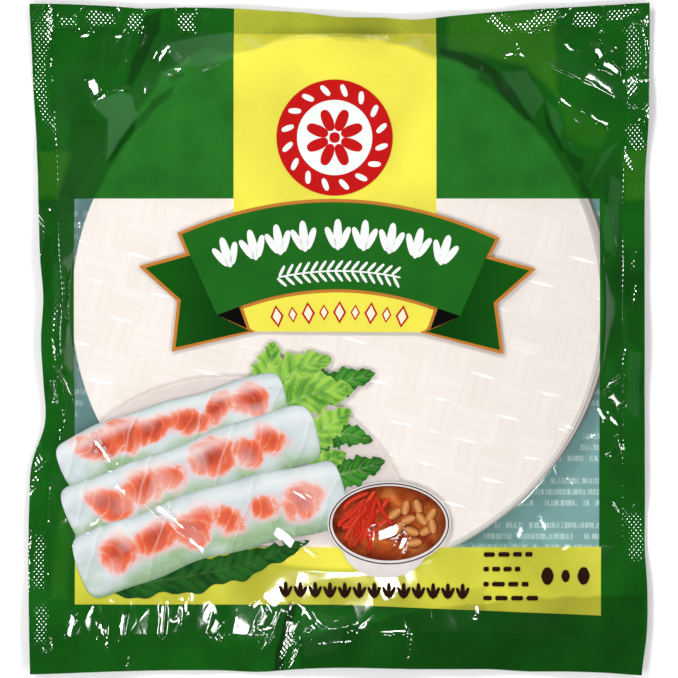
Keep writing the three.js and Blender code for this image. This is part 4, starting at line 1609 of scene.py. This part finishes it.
def leaf(path, width, seed, layer):
    """A leaf round its midrib: half width * sin(pi u^0.7)^0.8, its two edges ruffled by sines.

    Its tone is light or dark ruffles, the pale veins, and how near a point is to the edge.
    """
    phases = np.random.default_rng(seed).uniform(0, 6, 4)

    def half(u, v):
        turn = np.where(v > 0.5, phases[0], phases[1])
        ruffle = 0.16 * np.sin(29 * u + turn) + 0.1 * np.sin(67 * u + 2 * turn)
        shape = np.sin(np.pi * np.clip(u, 0.001, 0.999) ** 0.7) ** 0.8
        return width * shape * (1 + ruffle * np.abs(2 * v - 1) ** 2)

    grid, u, v = strip_of_ink(path, half, layer, (90, 32))
    length = np.hypot(*np.diff(np.array(path), axis=0).T).sum()
    off = np.abs(2 * v - 1) * width
    step = (u * length - 0.8 * off + swell(grid[0], grid[1], 6, seed)) / 4.4
    veins = 0.7 * np.exp(-(((step % 1 - 0.5) / 0.07) ** 2)) * (1 - np.abs(2 * v - 1))
    veins = np.maximum(veins, np.exp(-((off / 0.45) ** 2)) * (1 - u))
    ruffles = np.sin(2 * np.pi * step + phases[2] * v)
    light = 0.5 + 0.3 * ruffles + 0.5 * swell(*grid[:2], 5, seed + 1)
    return grid, (light, veins, np.abs(2 * v - 1) ** 6)


def printed_leaf(name, light, dark, edge, vein=0.6):
    """A salad leaf as printed: two greens in ruffles, pale veins and another green at its edge."""
    made, tree = material(name)
    tone, veins, rim = tone_of(tree)
    fine = node(tree, "Math", (cloud(tree, 2.5, 3.0, 0.6), 0.9, -0.45), operation="MULTIPLY_ADD")
    share = node(tree, "Math", (tone, fine), operation="ADD")
    body = node(tree, "Mix", (share, linear(dark), linear(light)), data_type="RGBA")
    for value, strength, colour in ((rim, 0.6, edge), (veins, vein, "#B4CE86")):
        share = node(tree, "Math", (value, strength), operation="MULTIPLY")
        body = node(tree, "Mix", (share, body, linear(colour)), data_type="RGBA")
    node(tree, "OutputMaterial", {"Surface": gloss(tree, body)})
    return made


DARK_LEAVES = (
    # path from stem to tip in mm, half width
    (((-18, -27), (-2, -19), (15, -14)), 6.4),
    (((-14, -44), (0, -39), (14, -42)), 5.6),
    (((-12, -58), (4, -55), (19, -50)), 6.6),
)
LIGHT_LEAVES = (
    (((-35, -24), (-29, -12), (-27, -1)), 6.2),
    (((-32, -25), (-18, -13), (-3, -8)), 7.4),
    (((-30, -33), (-13, -23), (6, -21)), 9.2),
    (((-16, -46), (-5, -36), (5, -29)), 6.4),
    (((-12, -56), (-4, -50), (3, -47)), 4.4),
)
dark_leaf = printed_leaf("printed_dark_leaf", "#3F8A2C", "#174F18", "#1B5519")
light_leaf = printed_leaf("printed_light_leaf", "#93C24C", "#3F8427", "#B5D268")
for leaf_name, table, surface, level in (
    ("dark_leaves", DARK_LEAVES, dark_leaf, 1),
    ("light_leaves", LIGHT_LEAVES, light_leaf, 3),
):
    patches = [leaf(path, width, 30 + k, level + 0.4 * k) for k, (path, width) in enumerate(table)]
    ink_piece(leaf_name, patches, surface, False)

shaded_leaf = printed_leaf("printed_shaded_leaf", "#215C1E", "#0D3A12", "#16481A", 0.08)
patches = [leaf(((-97, -103), (-48, -95), (-12, -83)), 6.6, 39, 2)]
ink_piece("shaded_leaf", patches, shaded_leaf, False)

# %% [markdown]
# The rolls are moist rice paper, and their filling shows through as soft coral slices with pale
# bands. A roll is one strip with blunt ends, and its filling is worked out along and across it.

# %% Rolls
SLICES = 6


def filling(a, b, length, seed):
    """Coral share at a mm along and b mm up a roll: a row of slices, 1 in the middle of each.

    A slice is an ellipse bent by noise, and pale bands cross it as the segments of a prawn do.
    """
    rng = np.random.default_rng(seed)
    wa = a + 1.2 * swell(a, b, 4, seed) + 2.2 * swell(a, b, 11, seed + 1)
    wb = b + 1.0 * swell(a, b, 4, seed + 2) + 2.0 * swell(a, b, 11, seed + 3)
    coral = np.zeros_like(a)
    for k in range(SLICES):
        ca = length * (0.09 + 0.8 * (k + 0.5) / SLICES) + rng.uniform(-3, 3)
        cb = 1.6 + rng.uniform(-2.4, 2.4)
        turn, depth = rng.uniform(-0.7, 0.7), rng.uniform(0.6, 1.05)
        ra, rb = rng.uniform(7.0, 11.0), rng.uniform(5.6, 8.6)
        along = (wa - ca) * math.cos(turn) + (wb - cb) * math.sin(turn)
        across = (wb - cb) * math.cos(turn) - (wa - ca) * math.sin(turn)
        inside = np.clip(1.2 - np.hypot(along / ra, across / rb), 0, 1)
        line = np.sin(np.pi * along / 4.6 + 0.05 * across**2) / 0.3
        bands = 1 - 0.42 * np.exp(-(line**2))
        coral = np.maximum(coral, depth * bands * inside)
    return coral


def roll(start, end, rise, width, seed, layer):
    """A roll from end to end: a bowed path, its half width wavering by two sines, blunt ends."""
    start, end = np.array(start, float), np.array(end, float)
    length = np.hypot(*(end - start))
    path = [start + (end - start) * s + [0, 4 * rise * s * (1 - s)] for s in np.linspace(0, 1, 7)]

    def half(u, v):
        slow, quick = np.sin(8 * u + seed + 2.5 * v), np.sin(21 * u + 2 * seed + 3 * v)
        blunt = np.maximum(1 - np.abs(2 * u - 1) ** 22, 0.0005) ** 0.5
        return width * (1 + 0.07 * slow + 0.035 * quick) * blunt

    grid, u, v = strip_of_ink(path, half, layer, (190, 56))
    a, b = u * length, (2 * v - 1) * width
    coral = filling(a, b, length, seed)
    green = np.clip(1.05 - 2.3 * v + 0.7 * swell(a, 2 * b, 9, seed + 5), 0, 1)
    milk = 0.45 * np.exp(-(((v - 0.82) / 0.1) ** 2)) + 0.3 * np.clip(swell(a, b, 9, seed + 6), 0, 1)
    for place in (0.05, 0.3, 0.62, 0.94):
        fold = a - length * place - 0.7 * b - swell(b, a, 7, seed + 7)
        milk += 0.3 * np.exp(-((fold / 0.5) ** 2))
        milk -= 0.16 * np.exp(-(((fold - 1.6) / 1.3) ** 2))
    rim = np.maximum(np.abs(2 * v - 1) ** 14, np.abs(2 * u - 1) ** 60)
    return grid, (coral, green, milk - 0.9 * rim - 0.35 * np.clip(0.3 - v, 0, 1) / 0.3)


def printed_roll():
    """Moist rice paper over its filling, as printed: bluish white, coral slices, pale green."""
    made, tree = material("printed_moist_rice_paper")
    coral, green, milk = tone_of(tree)
    papers = linear("#A9B8BA"), linear("#D6DCDD")
    paper = node(tree, "Mix", (cloud(tree, 8, 4.0, 1.0), *papers), data_type="RGBA")
    greens = linear("#5E8A4C"), linear("#AAC494")
    leafy = node(tree, "Mix", (cloud(tree, 5, 4.0, 1.5, 2.0), *greens), data_type="RGBA")
    share = node(tree, "Math", (green, 0.85), operation="MULTIPLY")
    body = node(tree, "Mix", (share, paper, leafy), data_type="RGBA")
    halo = node(tree, "MapRange", (coral, 0.0, 0.2, 0.0, 0.85))
    fine = node(tree, "Math", (cloud(tree, 4, 4.0, 1.0, 1.0), 0.4, -0.2), operation="MULTIPLY_ADD")
    depth = node(tree, "Math", (coral, fine), operation="ADD")
    stops = (
        (0.15, "#E3AFA8"), (0.3, "#E08A6C"), (0.46, "#D95F39"), (0.7, "#CB4A22"), (1.0, "#A83414"),
    )
    flesh = node(tree, "ValToRGB", (depth,), stops)
    inside = node(tree, "MapRange", (depth, 0.18, 0.3, 0.0, 0.95))
    pale = node(tree, "Math", (milk, 0.0), operation="MAXIMUM")
    shade = node(tree, "Math", (milk, -0.6), operation="MULTIPLY")
    shade = node(tree, "Math", (shade, 0.0), operation="MAXIMUM")
    tints = (
        (halo, linear("#DDB4B6")),
        (inside, flesh),
        (pale, linear("#E4E6E6")),
        (shade, linear("#5F7A66")),
    )
    for share, colour in tints:
        body = node(tree, "Mix", (share, body, colour), data_type="RGBA")
    node(tree, "OutputMaterial", {"Surface": gloss(tree, body)})
    return made


ROLLS = {
    # left end, right end, rise of the bow, half width, seed
    "back_roll": ((-115, -54), (-22, -23), 2.5, 10.6, 41),
    "middle_roll": ((-112, -75), (-9, -38), 2.5, 12.2, 43),
    "front_roll": ((-108, -95), (2, -61), 1.5, 14.0, 45),
}
roll_ink = printed_roll()
for level, (name, numbers) in enumerate(ROLLS.items()):
    ink_piece(name, [roll(*numbers, 6 + level)], roll_ink, False)

# %% [markdown]
# The bowl is seen from above and a little from the front: an ellipse of china with a side below
# it, a thin line round the rim, and a sauce with shreds and nuts scattered by a seeded draw.

# %% Bowl
BOWL = (20.6, -76.0)
china = plain_ink("printed_white_china", "#D6CFCC", 0.05, 8)
ink_piece("bowl_side", [filled(ellipse(19, -85.2, 17.5, 13.2, 60), (19, -85), 10)], china, True)
ink_piece("bowl_rim", [filled(ellipse(*BOWL, 25.3, 17.3, 90), BOWL, 11)], china, True)
line_ink = plain_ink("printed_dark_rim_line", "#33202A", 0.05, 8)
ink_piece("bowl_line", [ring_ribbon(ellipse(*BOWL, 24.5, 16.5, 110), 0.5, 12)], line_ink, True)

made, tree = material("printed_dipping_sauce")
stops = ((0.32, "#5A1C0C"), (0.46, "#8A3216"), (0.58, "#A9501F"), (0.7, "#C07038"))
sauce = node(tree, "ValToRGB", (cloud(tree, 9, 3.0, 0.6),), stops)
depth = node(tree, "MapRange", (tone_of(tree)[1], 0.7, 1.0, 0.0, 0.75))
sauce = node(tree, "Mix", (depth, sauce, linear("#4A170B")), data_type="RGBA")
node(tree, "OutputMaterial", {"Surface": gloss(tree, sauce)})
ink_piece("bowl_sauce", [filled(ellipse(20.6, -75.8, 23.4, 15.4, 90), BOWL, 13, 0.6)], made, True)

made, tree = material("printed_chilli_shreds")
_, side, chance = tone_of(tree)
reds = linear("#B01A12"), linear("#D8452A")
strand = node(tree, "Mix", (chance, *reds), data_type="RGBA")
edge = node(tree, "Math", (side, 0.5), operation="SUBTRACT")
edge = node(tree, "Math", (edge,), operation="ABSOLUTE")
edge = node(tree, "MapRange", (edge, 0.2, 0.5, 0.0, 0.8))
strand = node(tree, "Mix", (edge, strand, linear("#7A120B")), data_type="RGBA")
node(tree, "OutputMaterial", {"Surface": gloss(tree, strand)})
rng = np.random.default_rng(12)
shreds = []
for k in range(60):
    x, y = rng.normal(8, 5), rng.normal(-73, 5)
    turn = math.radians(rng.normal(70, 32))
    dx, dy = 6.2 * math.cos(turn), 6.2 * math.sin(turn)
    bend = rng.uniform(-2.2, 2.2)
    path = [(x - dx, y - dy), (x + bend, y), (x + dx, y + dy)]
    if all(((px - BOWL[0]) / 22) ** 2 + ((py - BOWL[1]) / 14.2) ** 2 < 1 for px, py in path):
        patch, shares = ribbon(path, [rng.uniform(0.6, 1.0)] * 3, 14 + 0.02 * k, 6, (16, 5))
        shreds.append((patch, (*shares, np.full_like(shares[0], rng.uniform()))))
ink_piece("bowl_shreds", shreds, made, False)

made, tree = material("printed_peanut")
off = node(tree, "Math", (tone_of(tree)[1], 0.55), operation="SUBTRACT")
off = node(tree, "Math", (off,), operation="ABSOLUTE")
stops = ((0.0, "#CE9160"), (0.2, "#BC7A40"), (0.38, "#96562A"), (0.5, "#54260F"))
nut = node(tree, "ValToRGB", (off,), stops)
node(tree, "OutputMaterial", {"Surface": gloss(tree, nut)})
NUTS = (
    (23, -72, 40), (27.5, -69.5, 80), (32.5, -69, 110), (28.5, -74.5, 20), (34, -74, 130),
    (38, -72.5, 60), (30, -79, 160), (24.5, -78, 60), (36, -79, 30), (31, -84, 10),
    (38.5, -77, 100),
)
nuts = [grain(x, y, 6.0, 4.4, turn, 16 + 0.1 * k) for k, (x, y, turn) in enumerate(NUTS)]
ink_piece("bowl_nuts", nuts, made, False)

# %% [markdown]
# ## Floor
#
# A plain pale floor takes the pouch's soft shadow. It is no part of the pouch.

# %% Floor
made, tree = material("painted_floor")
white = mottled(tree, "#F7F7F7", 0.004, 80)
paint = node(tree, "BsdfPrincipled", {"Base Color": white, "Roughness": 0.6})
node(tree, "OutputMaterial", {"Surface": paint})
mesh = bpy.data.meshes.new("floor")
mesh.from_pydata([(-3, -3, 0), (3, -3, 0), (3, 3, 0), (-3, 3, 0)], [], [(0, 1, 2, 3)])
mesh.materials.append(made)
floor = bpy.data.objects.new("floor", mesh)
bpy.context.scene.collection.objects.link(floor)
